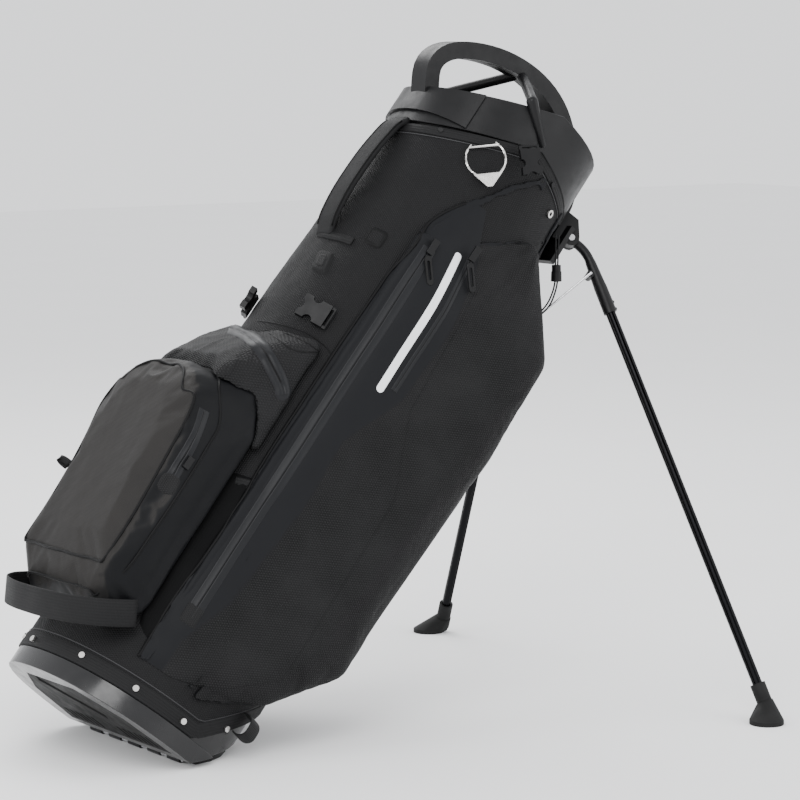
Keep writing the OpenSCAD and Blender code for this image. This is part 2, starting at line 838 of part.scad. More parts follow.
// Places of the two zip garages on the right-hand pocket: [x, y, z]
long_garage = [-60.5, -110, 640];
valuables_garage = [-16.5, -123.5, 664];
garage_yaw = -18;
garage_l = 24;
slider_w = 8;
slider_t = 4.4;
slider_l = 15;

module garage(place) on_wall(place[0], place[1], place[2], garage_yaw) difference() {
    translate([0, -6.6, 3]) rotate([90, 0, 0]) translate([0, 0, -18]) linear_extrude(19.6) {
        circle(d = 15, $fn = 32);
        translate([-7.5, -garage_l / 2]) square([15, garage_l / 2]);
    }
    translate([-slider_w / 2 - 0.6, -6.9, -12]) cube([slider_w + 1.2, 6.4, 18]);
}

module zip_garages() color(moulded) bag() both_sides() difference() {
    union() {
        garage(long_garage);
        garage(valuables_garage);
    }
    apparel_form(skin + 0.05);
}

module slider(place) on_wall(place[0], place[1], place[2], garage_yaw)
    translate([-slider_w / 2, -6.3, -slider_l]) cube([slider_w, slider_t, slider_l + 4]);

// A loop of cord with a grip hangs from the slider
module pull(place) on_wall(place[0], place[1], place[2], garage_yaw) translate([0, -4.1, -slider_l - 2.4])
    rotate([0, -lean, 0]) translate([0, 0, -17]) difference() {
        round_bar(34, 8, 3);
        round_bar(22, 3.4, 10);
    }

module long_zip_slider_right() color(moulded) bag() slider(long_garage);
module long_zip_slider_left() color(moulded) bag() mirror([0, 1, 0]) slider(long_garage);
module long_zip_pull_right() color(near_black) bag() pull(long_garage);
module long_zip_pull_left() color(near_black) bag() mirror([0, 1, 0]) pull(long_garage);

module valuables_slider() {
    slider(valuables_garage);
    pull(valuables_garage);
}

module valuables_slider_right() color(moulded) bag() valuables_slider();
module valuables_slider_left() color(moulded) bag() mirror([0, 1, 0]) valuables_slider();

// Slab parallel to the ball pocket's face, between two depths behind it
module face_slab(depth, thick) {
    translate([-205, 0, 363]) rotate([0, -4.4, 0]) translate([depth, -200, -400]) cube([thick, 400, 520]);
}

module ball_zip() color(near_black) bag() {
    difference() {
        intersection() {
            ball_form(0.8);
            face_slab(26, 14);
        }
        ball_form(0.05);
        translate([-300, -200, -20]) cube([400, 400, 150]);
    }
}

ball_slider_place = [-168, -102, 262];

module ball_zip_slider() color(moulded) bag() translate(ball_slider_place) cube([8, 4, 14], center = true);

module shoulder_zip() color(near_black) bag() {
    difference() {
        intersection() {
            shoulder_form(0.8);
            translate([-220, -120, 397]) cube([120, 240, 12]);
        }
        shoulder_form(0.05);
        ball_form(1);
        tube_form(gap);
    }
}

module actuator_link_right() actuator_link(-1);
module actuator_link_left() actuator_link(1);
module leg_elbow_right() leg_elbow(-1);
module leg_elbow_left() leg_elbow(1);
module leg_tube_right() leg_tube(-1);
module leg_tube_left() leg_tube(1);
module leg_foot_right() leg_foot(-1);
module leg_foot_left() leg_foot(1);

// --- Retainer cord -------------------------------------------------------------------------------

// A loop of cord hangs from the cuff, passes its lock twice, and turns round behind the pocket's edge
cord_d = 2;
cord_route = [
    [100, -70, 772], [110, -70, 760], [121, -70, 746], [135, -70, 728], [141, -70, 712], [142, -70, 698],
    [138, -71, 684], [131, -72, 672], [127, -75, 668], [131, -78, 672], [138, -77, 684], [142, -76, 698],
    [141, -75, 712], [135, -74.5, 728], [121, -74.5, 746], [110, -75, 760], [100, -76, 772]
];
cord_sides = 8;

function cord_ring(p, i) =
    let (
        d = p[min(i + 1, len(p) - 1)] - p[max(i - 1, 0)],
        w = d / norm(d),
        a = cross(w, [1, 0, 0]) / norm(cross(w, [1, 0, 0])),
        b = cross(w, a)
    )
    [for (k = [0 : cord_sides - 1]) p[i] + (a * cos(360 * k / cord_sides) + b * sin(360 * k / cord_sides)) * cord_d / 2];

module cord_tube(p) {
    n = len(p);
    polyhedron(
        points = [for (i = [0 : n - 1]) each cord_ring(p, i)],
        faces = concat(
            [[for (k = [0 : cord_sides - 1]) k]],
            [for (i = [0 : n - 2], k = [0 : cord_sides - 1]) let (m = (k + 1) % cord_sides)
                [i * cord_sides + k, (i + 1) * cord_sides + k, (i + 1) * cord_sides + m, i * cord_sides + m]],
            [[for (k = [cord_sides - 1 : -1 : 0]) (n - 1) * cord_sides + k]]
        )
    );
}

module retainer_cord() color(near_black) bag() cord_tube(smooth(cord_route));

lock_place = [130.2, -72.25, 734.2];

// Hole for the two strands, along the hanging cord
module lock_hole() {
    for (k = [-1, 1]) translate([0, k * 2.25, -20]) cylinder(d = 3.4, h = 50, $fn = 24);
    translate([-1.7, -2.25, -20]) cube([3.4, 4.5, 50]);
}

module lock_frame() {
    translate(lock_place) rotate([0, -lean, 0]) children();
}

module cord_lock() color(moulded) bag() lock_frame() difference() {
    translate([0, 0, -7]) cylinder(d = 13, h = 12, $fn = 32);
    translate([0, 0, -2]) cylinder(d = 11.4, h = 20, $fn = 32);
    lock_hole();
}

module cord_lock_button() color(near_black) bag() lock_frame() difference() {
    translate([0, 0, 1.5]) cylinder(d = 11, h = 11, $fn = 32);
    lock_hole();
}

// --- Nodes ------------------------------------------------------------------------------------------

base_tray();
base_tread();
base_rivets();
heel_plate();
heel_pin();
body_shell();
cuff_ring();
cuff_rivets();
cuff_eyelets();
top_dividers();
stay_rods();
top_handle();
leg_bracket();
leg_pins();
spine_handle();
spine_patches();
towel_tab();
towel_ring();
cuff_strap();
cuff_buckle();
strap_tabs();
strap_buckle_right();
strap_buckle_left();
apparel_pocket_right();
apparel_pocket_left();
reflective_stripes();
long_zips();
zip_garages();
long_zip_slider_right();
long_zip_slider_left();
long_zip_pull_right();
long_zip_pull_left();
valuables_zips();
valuables_slider_right();
valuables_slider_left();
ball_pocket();
ball_zip();
ball_zip_slider();
shoulder_pocket();
shoulder_zip();
stretch_pockets();
stretch_bindings();
lower_carry_loop();
base_pull_loop();
hip_pad();
actuator_rod();
actuator_guide();
actuator_link_right();
actuator_link_left();
leg_elbow_right();
leg_tube_right();
leg_foot_right();
leg_elbow_left();
leg_tube_left();
leg_foot_left();
retainer_cord();
cord_lock();
cord_lock_button();
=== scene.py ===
"""Looks of the golf stand bag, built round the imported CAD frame."""
import json
import math

import bpy
import numpy as np
from mathutils import Matrix, Vector, noise
from mathutils.bvhtree import BVHTree

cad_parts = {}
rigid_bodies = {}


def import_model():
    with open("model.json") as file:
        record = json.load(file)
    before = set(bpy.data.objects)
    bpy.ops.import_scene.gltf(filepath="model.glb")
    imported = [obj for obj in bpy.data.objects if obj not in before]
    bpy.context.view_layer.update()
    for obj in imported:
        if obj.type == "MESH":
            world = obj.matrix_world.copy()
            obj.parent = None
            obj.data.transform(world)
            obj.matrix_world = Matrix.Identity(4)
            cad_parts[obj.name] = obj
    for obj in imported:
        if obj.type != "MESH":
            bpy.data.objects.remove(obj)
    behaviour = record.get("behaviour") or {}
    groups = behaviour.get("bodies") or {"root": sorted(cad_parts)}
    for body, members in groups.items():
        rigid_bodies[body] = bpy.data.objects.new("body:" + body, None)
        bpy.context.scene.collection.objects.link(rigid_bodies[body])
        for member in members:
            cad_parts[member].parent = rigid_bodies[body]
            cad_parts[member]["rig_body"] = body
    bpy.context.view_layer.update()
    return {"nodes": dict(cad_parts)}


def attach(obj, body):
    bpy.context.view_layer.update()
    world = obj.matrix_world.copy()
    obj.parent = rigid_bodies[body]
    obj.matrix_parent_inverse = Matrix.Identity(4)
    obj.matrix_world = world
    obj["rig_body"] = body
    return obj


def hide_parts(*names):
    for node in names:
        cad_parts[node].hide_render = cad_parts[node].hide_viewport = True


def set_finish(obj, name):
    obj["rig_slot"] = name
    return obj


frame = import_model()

MM = 0.001
LEAN_DEG = 39.4
LEAN = math.radians(LEAN_DEG)
HINGE_X = -45.0          # world x of the heel hinge, mm
HEEL_P = 35.0            # distance of the heel hinge from the bag's axis, mm
U = np.array([math.sin(LEAN), 0, math.cos(LEAN)])     # along the axis
V = np.array([math.cos(LEAN), 0, -math.sin(LEAN)])    # from the axis towards the legs
X, Y, Z = np.eye(3)      # directions (p, y, s): towards the legs, left, along the axis
BAG = np.array([V, Y, U])


# --- Places: everything is thought of as (p, y, s) in mm: towards the legs, left, along the axis ---

def to_world(a):
    """Points (p, y, s) in mm as world points in metres."""
    a = np.asarray(a, float).reshape(-1, 3).copy()
    a[:, 0] -= HEEL_P
    return (a @ BAG + np.array([HINGE_X, 0, 0])) * MM


def to_bag(w):
    """World points in metres as (p, y, s) in mm."""
    a = (np.asarray(w, float).reshape(-1, 3) / MM - np.array([HINGE_X, 0, 0])) @ BAG.T
    a[:, 0] += HEEL_P
    return a


def rot_y(v, deg):
    c, s = math.cos(math.radians(deg)), math.sin(math.radians(deg))
    return np.stack([v[:, 0] * c + v[:, 2] * s, v[:, 1], -v[:, 0] * s + v[:, 2] * c], 1)


def rot_z(v, deg):
    c, s = math.cos(math.radians(deg)), math.sin(math.radians(deg))
    return np.stack([v[:, 0] * c - v[:, 1] * s, v[:, 0] * s + v[:, 1] * c, v[:, 2]], 1)


def wall(place, yaw, local, roll=0.0):
    """Points in a frame on the right-hand wall (-y outwards) as (p, y, s)."""
    v = rot_y(np.asarray(local, float).reshape(-1, 3), roll)
    return rot_z(v, yaw) + np.array(place, float)


def smooth_path(pts, steps=6):
    """Catmull-Rom curve through points of any dimension."""
    p = np.asarray(pts, float)
    out = []
    for i in range(len(p) - 1):
        a, b, c, d = p[max(i - 1, 0)], p[i], p[i + 1], p[min(i + 2, len(p) - 1)]
        for k in range(steps):
            t = k / steps
            out.append(0.5 * (2 * b + (c - a) * t + (2 * a - 5 * b + 4 * c - d) * t * t
                              + (3 * b - a - 3 * c + d) * t ** 3))
    out.append(p[-1])
    return np.array(out)


def resample(pts, step):
    """The same path with points about step apart."""
    p = np.asarray(pts, float)
    d = np.concatenate([[0], np.cumsum(np.linalg.norm(np.diff(p, axis=0), axis=1))])
    n = max(2, int(round(d[-1] / step)) + 1)
    t = np.linspace(0, d[-1], n)
    return np.stack([np.interp(t, d, p[:, k]) for k in range(p.shape[1])], 1)


def smoothstep(a, b, x):
    t = np.clip((x - a) / (b - a), 0, 1)
    return t * t * (3 - 2 * t)


# --- Materials ------------------------------------------------------------------------------------

class Mat:
    """A small builder of node materials."""

    def __init__(self, name):
        self.m = bpy.data.materials.new(name)
        self.m.use_nodes = True
        self.t = self.m.node_tree
        self.bsdf = self.t.nodes["Principled BSDF"]
        self.bump = None

    def node(self, kind, **sets):
        n = self.t.nodes.new(kind)
        for k, v in sets.items():
            setattr(n, k, v)
        return n

    def link(self, a, b):
        self.t.links.new(a, b)

    def math(self, op, a, b=None, clamp=False):
        n = self.node("ShaderNodeMath", operation=op, use_clamp=clamp)
        for i, x in enumerate((a, b)):
            if x is None:
                continue
            if isinstance(x, (int, float)):
                n.inputs[i].default_value = x
            else:
                self.link(x, n.inputs[i])
        return n.outputs[0]

    def coords(self, kind="Object"):
        if not hasattr(self, "tc"):
            self.tc = self.node("ShaderNodeTexCoord")
        return self.tc.outputs[kind]

    def noise(self, scale, detail=3.0, rough=0.55, coords="Object", stretch=None):
        src = self.coords(coords)
        if stretch:
            mp = self.node("ShaderNodeMapping")
            mp.inputs["Scale"].default_value = stretch
            mp.inputs["Rotation"].default_value = (0, -LEAN, 0)
            self.link(src, mp.inputs[0])
            src = mp.outputs[0]
        n = self.node("ShaderNodeTexNoise")
        n.inputs["Scale"].default_value = scale
        n.inputs["Detail"].default_value = detail
        n.inputs["Roughness"].default_value = rough
        self.link(src, n.inputs["Vector"])
        return n.outputs["Fac"]

    def range(self, x, a, b, c, d):
        n = self.node("ShaderNodeMapRange")
        for i, v in enumerate((a, b, c, d)):
            n.inputs[i + 1].default_value = v
        self.link(x, n.inputs[0])
        return n.outputs[0]

    def mix(self, fac, a, b):
        """A colour between a and b."""
        n = self.node("ShaderNodeMix", data_type="RGBA")
        self.link(fac, n.inputs[0])
        for i, x in ((6, a), (7, b)):
            if isinstance(x, tuple):
                n.inputs[i].default_value = (*x, 1)
            else:
                self.link(x, n.inputs[i])
        return n.outputs[2]

    def waves(self, vectors, coords="UV"):
        """Sum of cosines of the coordinates along each vector."""
        total = None
        for v in vectors:
            d = self.node("ShaderNodeVectorMath", operation="DOT_PRODUCT")
            self.link(self.coords(coords), d.inputs[0])
            d.inputs[1].default_value = v
            c = self.math("COSINE", d.outputs["Value"])
            total = c if total is None else self.math("ADD", total, c)
        return total

    def add_bump(self, height, distance, strength=1.0):
        b = self.node("ShaderNodeBump")
        b.inputs["Strength"].default_value = strength
        b.inputs["Distance"].default_value = distance
        self.link(height, b.inputs["Height"])
        if self.bump is not None:
            self.link(self.bump, b.inputs["Normal"])
        self.bump = b.outputs[0]

    def done(self, base, rough, **const):
        b = self.bsdf
        for key, x in (("Base Color", base), ("Roughness", rough)):
            if isinstance(x, (int, float)):
                b.inputs[key].default_value = x
            elif isinstance(x, tuple):
                b.inputs[key].default_value = (*x, 1)
            else:
                self.link(x, b.inputs[key])
        for k, v in const.items():
            b.inputs[k.replace("_", " ")].default_value = v
        if self.bump is not None:
            self.link(self.bump, b.inputs["Normal"])
        return self.m


def hex_vectors(pitch):
    k = 4 * math.pi / (math.sqrt(3) * pitch)
    return [(k * math.cos(a), k * math.sin(a), 0) for a in (0, math.pi / 3, 2 * math.pi / 3)]


def fabric(name, dark, light, pattern="hex", pitch=2.7, emboss=0.35, rough=(0.5, 0.68), sheen=0.25,
           attribute=None, second=None, specular=0.35):
    """Coated woven cloth with a pattern embossed in UV mm; attribute fades it into smooth coating."""
    m = Mat(name)
    cloud = m.noise(14.0, 4.0)
    fine = m.noise(900.0, 2.0)
    if pattern == "hex":
        w = m.waves(hex_vectors(pitch))
        dots = m.range(w, -1.5, 3.0, 0.0, 1.0)
    elif pattern == "ripstop":
        k = 2 * math.pi / pitch
        w = m.waves([(k, 0, 0), (0, k, 0)])
        dots = m.range(w, -2.0, 2.0, 0.0, 1.0)
    elif pattern == "rib":
        k = 2 * math.pi / pitch
        w = m.waves([(0, k, 0), (k * 0.5, 0, 0)])
        dots = m.range(w, -2.0, 2.0, 0.0, 1.0)
    else:
        dots = fine
    keep = dots
    if attribute:
        at = m.node("ShaderNodeAttribute", attribute_name=attribute)
        keep = m.math("MULTIPLY", dots, at.outputs["Fac"])
    base = m.mix(m.math("MULTIPLY", keep, 0.75), dark, light)
    base = m.mix(m.range(cloud, 0.3, 0.7, 0.0, 0.35), base, tuple(c * 1.25 for c in light))
    if second and attribute:
        base = m.mix(at.outputs["Fac"], second, base)
    r = m.range(cloud, 0.25, 0.75, rough[0], rough[1])
    m.add_bump(keep, emboss * MM, 0.9)
    m.add_bump(fine, 0.05 * MM, 0.6)
    m.add_bump(m.noise(45.0, 3.0), 0.5 * MM, 0.5)
    return m.done(base, r, Sheen_Weight=sheen, Sheen_Roughness=0.5, Specular_IOR_Level=specular)


def plastic(name, colour, rough=(0.32, 0.5), grain=0.06, specular=0.5):
    m = Mat(name)
    cloud = m.noise(20.0, 3.0)
    speck = m.noise(1500.0, 2.0)
    base = m.mix(m.range(cloud, 0.3, 0.75, 0.0, 0.5), colour, tuple(c * 1.35 + 0.002 for c in colour))
    m.add_bump(speck, grain * MM, 0.7)
    m.add_bump(cloud, 0.25 * MM, 0.3)
    return m.done(base, m.range(m.noise(60.0, 4.0), 0.3, 0.7, rough[0], rough[1]),
                  Specular_IOR_Level=specular)


def metal(name, colour, rough=(0.18, 0.34), brushed=0.02):
    m = Mat(name)
    cloud = m.noise(50.0, 3.0)
    lines = m.noise(700.0, 2.0, stretch=(1.0, 1.0, 0.08))
    base = m.mix(m.range(cloud, 0.3, 0.7, 0.0, 0.4), colour, tuple(c * 0.8 for c in colour))
    m.add_bump(lines, brushed * MM, 0.6)
    return m.done(base, m.range(lines, 0.3, 0.7, rough[0], rough[1]), Metallic=1.0)


M = {
    "panel": fabric("panel_fabric", (0.0020, 0.0020, 0.0022), (0.019, 0.019, 0.0195), pitch=3.0, emboss=0.8,
                    attribute="emboss", second=(0.0070, 0.0073, 0.0084), sheen=0.0, specular=0.11),
    "tube": fabric("tube_fabric", (0.0025, 0.0025, 0.0028), (0.013, 0.013, 0.0135), pitch=2.7, emboss=0.6,
                   sheen=0.0,
                   specular=0.12),
    "shoulder": fabric("shoulder_fabric", (0.0015, 0.0015, 0.0017), (0.017, 0.017, 0.0178), pitch=3.4,
                       emboss=1.0,
                       sheen=0.0, specular=0.14),
    "ball": fabric("ball_fabric", (0.010, 0.0093, 0.0088), (0.020, 0.0187, 0.0178), "ripstop", 1.5, 0.2,
                   rough=(0.46, 0.62), sheen=0.0, attribute="emboss", second=(0.0028, 0.003, 0.0037),
                   specular=0.13),
    "coated": fabric("coated_fabric", (0.0070, 0.0073, 0.0084), (0.0095, 0.0099, 0.0112), "plain",
                     emboss=0.05,
                     rough=(0.34, 0.5), sheen=0.0, specular=0.16),
    "end_patch": fabric("end_patch", (0.003, 0.003, 0.0033), (0.014, 0.014, 0.0145), "hex", 2.4, 0.45,
                        sheen=0.0, specular=0.15),
    "stretch": fabric("stretch_knit", (0.0015, 0.0015, 0.0017), (0.003, 0.003, 0.0032), "rib", 1.1, 0.1,
                      rough=(0.66, 0.82), sheen=0.0, specular=0.08),
    "webbing": fabric("webbing", (0.003, 0.003, 0.0032), (0.010, 0.010, 0.0105), "rib", 1.6, 0.4,
                      rough=(0.5, 0.7), sheen=0.0, specular=0.15),
    "handle": fabric("handle_knit", (0.005, 0.005, 0.0053), (0.012, 0.012, 0.0125), "ripstop", 1.4, 0.3,
                     rough=(0.55, 0.7), sheen=0.0, specular=0.15),
    "mesh": fabric("spacer_mesh", (0.006, 0.006, 0.0065), (0.026, 0.026, 0.027), "hex", 4.2, 0.9,
                   sheen=0.03),
    "piping": fabric("piping", (0.0015, 0.0015, 0.0017), (0.004, 0.004, 0.0042), "rib", 1.2, 0.15,
                     rough=(0.4, 0.6),
                     sheen=0.0, specular=0.12),
    "lining": fabric("divider_fleece", (0.008, 0.008, 0.009), (0.016, 0.016, 0.017), "plain", rough=(0.7,
        0.9),
                     sheen=0.08),
    "stripe": fabric("reflective_tape", (0.74, 0.75, 0.77), (0.88, 0.89, 0.90), "hex", 1.0, 0.04,
                     rough=(0.3, 0.42), sheen=0.0),
    "stitch": fabric("stitch_thread", (0.016, 0.016, 0.017), (0.034, 0.034, 0.036), "rib", 0.8, 0.1,
                     sheen=0.0),
    "moulded": plastic("moulded_black", (0.004, 0.004, 0.0044), specular=0.2),
    "rubberised": plastic("rubberised_black", (0.012, 0.012, 0.0125), rough=(0.42, 0.56), grain=0.1,
                          specular=0.3),
    "gloss": plastic("gloss_black", (0.005, 0.005, 0.0055), rough=(0.14, 0.3), grain=0.02, specular=0.42),
    "rubber": plastic("black_rubber", (0.006, 0.006, 0.006), rough=(0.55, 0.78), grain=0.12, specular=0.2),
    "anodised": metal("anodised_black", (0.012, 0.012, 0.013), rough=(0.25, 0.38)),
    "steel": metal("spring_steel", (0.50, 0.50, 0.51)),
    "nickel": metal("satin_nickel", (0.62, 0.61, 0.59), rough=(0.22, 0.34)),
}


SKEW = (0.31, 0.17, 0.23)    # any direction that no piped edge runs along

# --- Mesh helpers -------------------------------------------------------------------------------

def make(name, verts, faces, mat, body="bag", uv=None, smooth=True, stands_for=(), slot=None):
    """A mesh piece from world points, riding on a body. uv is one (u, v) in mm per vertex."""
    me = bpy.data.meshes.new(name)
    me.from_pydata([tuple(v) for v in verts], [], [tuple(f) for f in faces])
    me.validate()
    me.update()
    ob = bpy.data.objects.new(name, me)
    bpy.context.collection.objects.link(ob)
    me.materials.append(M[mat])
    me.polygons.foreach_set("use_smooth", [smooth] * len(me.polygons))
    if uv is not None:
        layer = me.uv_layers.new(name="UVMap")
        for loop in me.loops:
            layer.data[loop.index].uv = tuple(uv[loop.vertex_index])
    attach(ob, body)
    if stands_for:
        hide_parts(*stands_for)
    if slot:
        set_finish(ob, slot)
    return ob


def mirrored(ob, name, body=None, stands_for=()):
    """The same piece on the left-hand side."""
    me = ob.data.copy()
    me.name = name
    me.transform(Matrix.Diagonal((1, -1, 1, 1)))
    me.flip_normals()
    two = bpy.data.objects.new(name, me)
    bpy.context.collection.objects.link(two)
    for m in ob.modifiers:
        n = two.modifiers.new(m.name, m.type)
        for prop in m.bl_rna.properties:
            if not prop.is_readonly:
                setattr(n, prop.identifier, getattr(m, prop.identifier))
    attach(two, body or ob["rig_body"])
    if stands_for:
        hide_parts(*stands_for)
    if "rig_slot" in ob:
        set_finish(two, ob["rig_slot"])
    return two


def rounded(w, h, r, n=4):
    """Closed outline of a w by h rectangle with rounded corners, counter-clockwise."""
    out = []
    for cx, cy, a0 in ((w / 2 - r, h / 2 - r, 0), (r - w / 2, h / 2 - r, 90),
                       (r - w / 2, r - h / 2, 180), (w / 2 - r, r - h / 2, 270)):
        for k in range(n + 1):
            a = math.radians(a0 + 90 * k / n)
            out.append((cx + r * math.cos(a), cy + r * math.sin(a)))
    return np.array(out)


def circle(r, n=10):
    return np.array([(r * math.cos(2 * math.pi * k / n),
                      r * math.sin(2 * math.pi * k / n)) for k in range(n)])


def sweep(name, path, section, wide, mat, body="bag", scale=None, closed=False, **kw):
    """Sweeps a section along a path (p, y, s). wide is the direction of the section's first axis:
    one vector, or one per point. scale gives (a, b) per point. kw goes to make()."""
    P = np.asarray(path, float)
    n = len(P)
    if closed:
        T = np.roll(P, -1, 0) - np.roll(P, 1, 0)
    else:
        T = np.gradient(P, axis=0)
    T /= np.linalg.norm(T, axis=1)[:, None]
    W = np.broadcast_to(np.asarray(wide, float), P.shape)
    W = W - (W * T).sum(1)[:, None] * T
    W = W / np.linalg.norm(W, axis=1)[:, None]
    N = np.cross(T, W)
    S = np.asarray(section, float)
    k = len(S)
    verts, uv = [], []
    length = np.concatenate([[0], np.cumsum(np.linalg.norm(np.diff(P, axis=0), axis=1))])
    around = np.concatenate([[0], np.cumsum(np.linalg.norm(np.diff(S, axis=0), axis=1))])
    for i in range(n):
        a = b = 1.0 if scale is None else scale[i]
        ring = P[i] + S[:, :1] * a * W[i] + S[:, 1:2] * b * N[i]
        verts.extend(ring)
        uv.extend([(around[j], length[i]) for j in range(k)])
    faces = []
    for i in range(n if closed else n - 1):
        a0, b0 = i * k, ((i + 1) % n) * k
        for j in range(k):
            j2 = (j + 1) % k
            faces.append((a0 + j, a0 + j2, b0 + j2, b0 + j))
    if not closed:
        faces.append(tuple(range(k - 1, -1, -1)))
        faces.append(tuple((n - 1) * k + j for j in range(k)))
    return make(name, to_world(verts), faces, mat, body, uv, **kw)


def apply_all(ob):
    dg = bpy.context.evaluated_depsgraph_get()
    me = bpy.data.meshes.new_from_object(ob.evaluated_get(dg))
    ob.modifiers.clear()
    ob.data = me


def get(ob):
    co = np.empty(len(ob.data.vertices) * 3)
    ob.data.vertices.foreach_get("co", co)
    return co.reshape(-1, 3)


def put(ob, co):
    ob.data.vertices.foreach_set("co", np.asarray(co, float).ravel())
    ob.data.update()


def normals(ob):
    n = np.empty(len(ob.data.vertices) * 3)
    ob.data.vertices.foreach_get("normal", n)
    return n.reshape(-1, 3)


def bvh_of(ob):
    """Search tree of a piece in (p, y, s), in mm."""
    bag = to_bag(get(ob))
    return BVHTree.FromPolygons([tuple(v) for v in bag], [tuple(p.vertices) for p in ob.data.polygons])


def fbm(v, scale, seed, octaves=3):
    """Smooth noise, roughly -1 to 1, at (p, y, s) points."""
    off = Vector((seed * 17.3, seed * 5.7, seed * 11.1))
    return np.array([noise.fractal(Vector(x) * scale + off, 0.9, 2.0, octaves) for x in v])


def box_uv(ob, kind="side"):
    """UV in mm from the flattest of the bag's own planes."""
    me = ob.data
    bag = to_bag(get(ob))
    layer = me.uv_layers.get("UVMap") or me.uv_layers.new(name="UVMap")
    out = np.zeros((len(me.loops), 2))
    for poly in me.polygons:
        n = BAG @ np.array(poly.normal)
        k = int(np.argmax(np.abs(n) * (np.array([1.0, 1.25, 0.8]))))
        ax = ((1, 2), (0, 2), (1, 0))[k]
        for li in poly.loop_indices:
            q = bag[me.loops[li].vertex_index]
            out[li] = q[ax[0]], q[ax[1]]
    layer.data.foreach_set("uv", out.ravel())


def soft(name, node, mat, voxel=4.0, smooth=8, puff=0.0, cap=6.0, fat=3.0, pin=None, wrinkle=None,
         subdivide=1, slot=None):
    """A sewn soft form from its CAD solid: remeshed, rounded, blown up by cloth simulation between its
    pinned seams, then wrinkled. pin and wrinkle take the points (p, y, s)."""
    src = frame["nodes"][node]
    me = src.data.copy()
    me.name = name
    ob = bpy.data.objects.new(name, me)
    bpy.context.collection.objects.link(ob)
    ob.data.materials.clear()
    ob.data.materials.append(M[mat])
    ob.modifiers.new("weld", "WELD")
    grow = ob.modifiers.new("grow", "DISPLACE")
    grow.strength = fat * MM
    grow.mid_level = 0.0
    r = ob.modifiers.new("remesh", "REMESH")
    r.mode = "VOXEL"
    r.voxel_size = voxel * MM
    s = ob.modifiers.new("smooth", "SMOOTH")
    s.iterations = smooth
    s.factor = 0.5
    apply_all(ob)
    rest = get(ob).copy()
    put(ob, rest - normals(ob) * fat * 0.8 * MM)
    bag = to_bag(rest)
    if puff:
        start = get(ob).copy()
        held = ob.vertex_groups.new(name="held")
        w = pin(bag) if pin else np.zeros(len(bag))
        for i in np.nonzero(w > 0.02)[0]:
            held.add([int(i)], float(w[i]), "REPLACE")
        c = ob.modifiers.new("cloth", "CLOTH")
        c.settings.use_pressure = True
        c.settings.uniform_pressure_force = puff
        c.settings.mass = 0.3
        c.settings.quality = 5
        c.settings.tension_stiffness = 25
        c.settings.compression_stiffness = 18
        c.settings.bending_stiffness = 1.5
        c.settings.effector_weights.gravity = 0
        c.settings.vertex_group_mass = "held"
        c.collision_settings.use_collision = False
        scene = bpy.context.scene
        for f in range(1, 21):
            scene.frame_set(f)
        dg = bpy.context.evaluated_depsgraph_get()
        ev = ob.evaluated_get(dg)
        co = np.empty(len(ev.data.vertices) * 3)
        ev.data.vertices.foreach_get("co", co)
        co = co.reshape(-1, 3)
        ob.modifiers.clear()
        scene.frame_set(1)
        d = co - start
        size = np.linalg.norm(d, axis=1)
        size[size == 0] = 1
        d *= np.minimum(1, cap * MM / size)[:, None]
        put(ob, start + d)
    if subdivide:
        sub = ob.modifiers.new("sub", "SUBSURF")
        sub.levels = sub.render_levels = subdivide
        apply_all(ob)
    if wrinkle:
        co = get(ob)
        put(ob, co + normals(ob) * (wrinkle(to_bag(co), (normals(ob) @ BAG.T)) * MM)[:, None])
    ob.data.polygons.foreach_set("use_smooth", [True] * len(ob.data.polygons))
    box_uv(ob)
    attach(ob, "bag")
    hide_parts(node)
    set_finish(ob, slot or "charcoal_fabric")
    return ob


def paint(ob, name, values):
    at = ob.data.attributes.new(name, "FLOAT", "POINT")
    at.data.foreach_set("value", np.asarray(values, np.float32))


def cast(trees, start, direction):
    """First hit of a ray on any of the trees, with its normal, or None."""
    best = None
    for t in trees:
        hit, nor, _, d = t.ray_cast(Vector(start), Vector(direction))
        if hit is not None and (best is None or d < best[2]):
            best = (np.array(hit), np.array(nor), d)
    return best


# --- Camera first, then the cord ------------------------------------------------------------------

AZ, EL, AWAY = math.radians(-35.7), math.radians(7.0), 3.518
back = Vector((math.sin(AZ) * math.cos(EL), -math.cos(AZ) * math.cos(EL), math.sin(EL)))
cam_data = bpy.data.cameras.new("camera")
cam_data.sensor_width = 36.0
cam_data.lens = 134.9
camera = bpy.data.objects.new("camera", cam_data)
bpy.context.collection.objects.link(camera)
camera.location = Vector((0.319, 0, 0.364)) + back * AWAY
camera.rotation_mode = "QUATERNION"
camera.rotation_quaternion = (-back).to_track_quat("-Z", "Y")
bpy.context.scene.camera = camera

CORD_ROUTE = [
    (100, -70, 772), (110, -70, 760), (121, -70, 746), (135, -70, 728), (141, -70, 712), (142, -70, 698),
    (138, -71, 684), (131, -72, 672), (127, -75, 668), (131, -78, 672), (138, -77, 684), (142, -76, 698),
    (141, -75, 712), (135, -74.5, 728), (121, -74.5, 746), (110, -75, 760), (100, -76, 772)]
cord_path = smooth_path(CORD_ROUTE, 5)
cord = sweep("retainer_cord", cord_path, circle(1.0, 8), (1, 0.02, 0.1), "webbing",
             stands_for=("retainer_cord",), slot="black_fabric")
tuple(to_world(cord_path[:1])[0])
[tuple(q) for q in to_world(cord_path)]


# --- The tube ------------------------------------------------------------------------------------

LOW_R, MID_R, CUFF_R = (137, 118, 134), (130, 124, 118), (119, 119, 103)


def radii(s):
    """Half-widths of the tube [spine, legs, sides] at height s."""
    ks = (14, 430, 790, 900)
    end = [c + (c - m) * 110 / 360 for c, m in zip(CUFF_R, MID_R)]
    return [np.interp(s, ks, (a, b, c, d)) for a, b, c, d in zip(LOW_R, MID_R, CUFF_R, end)]


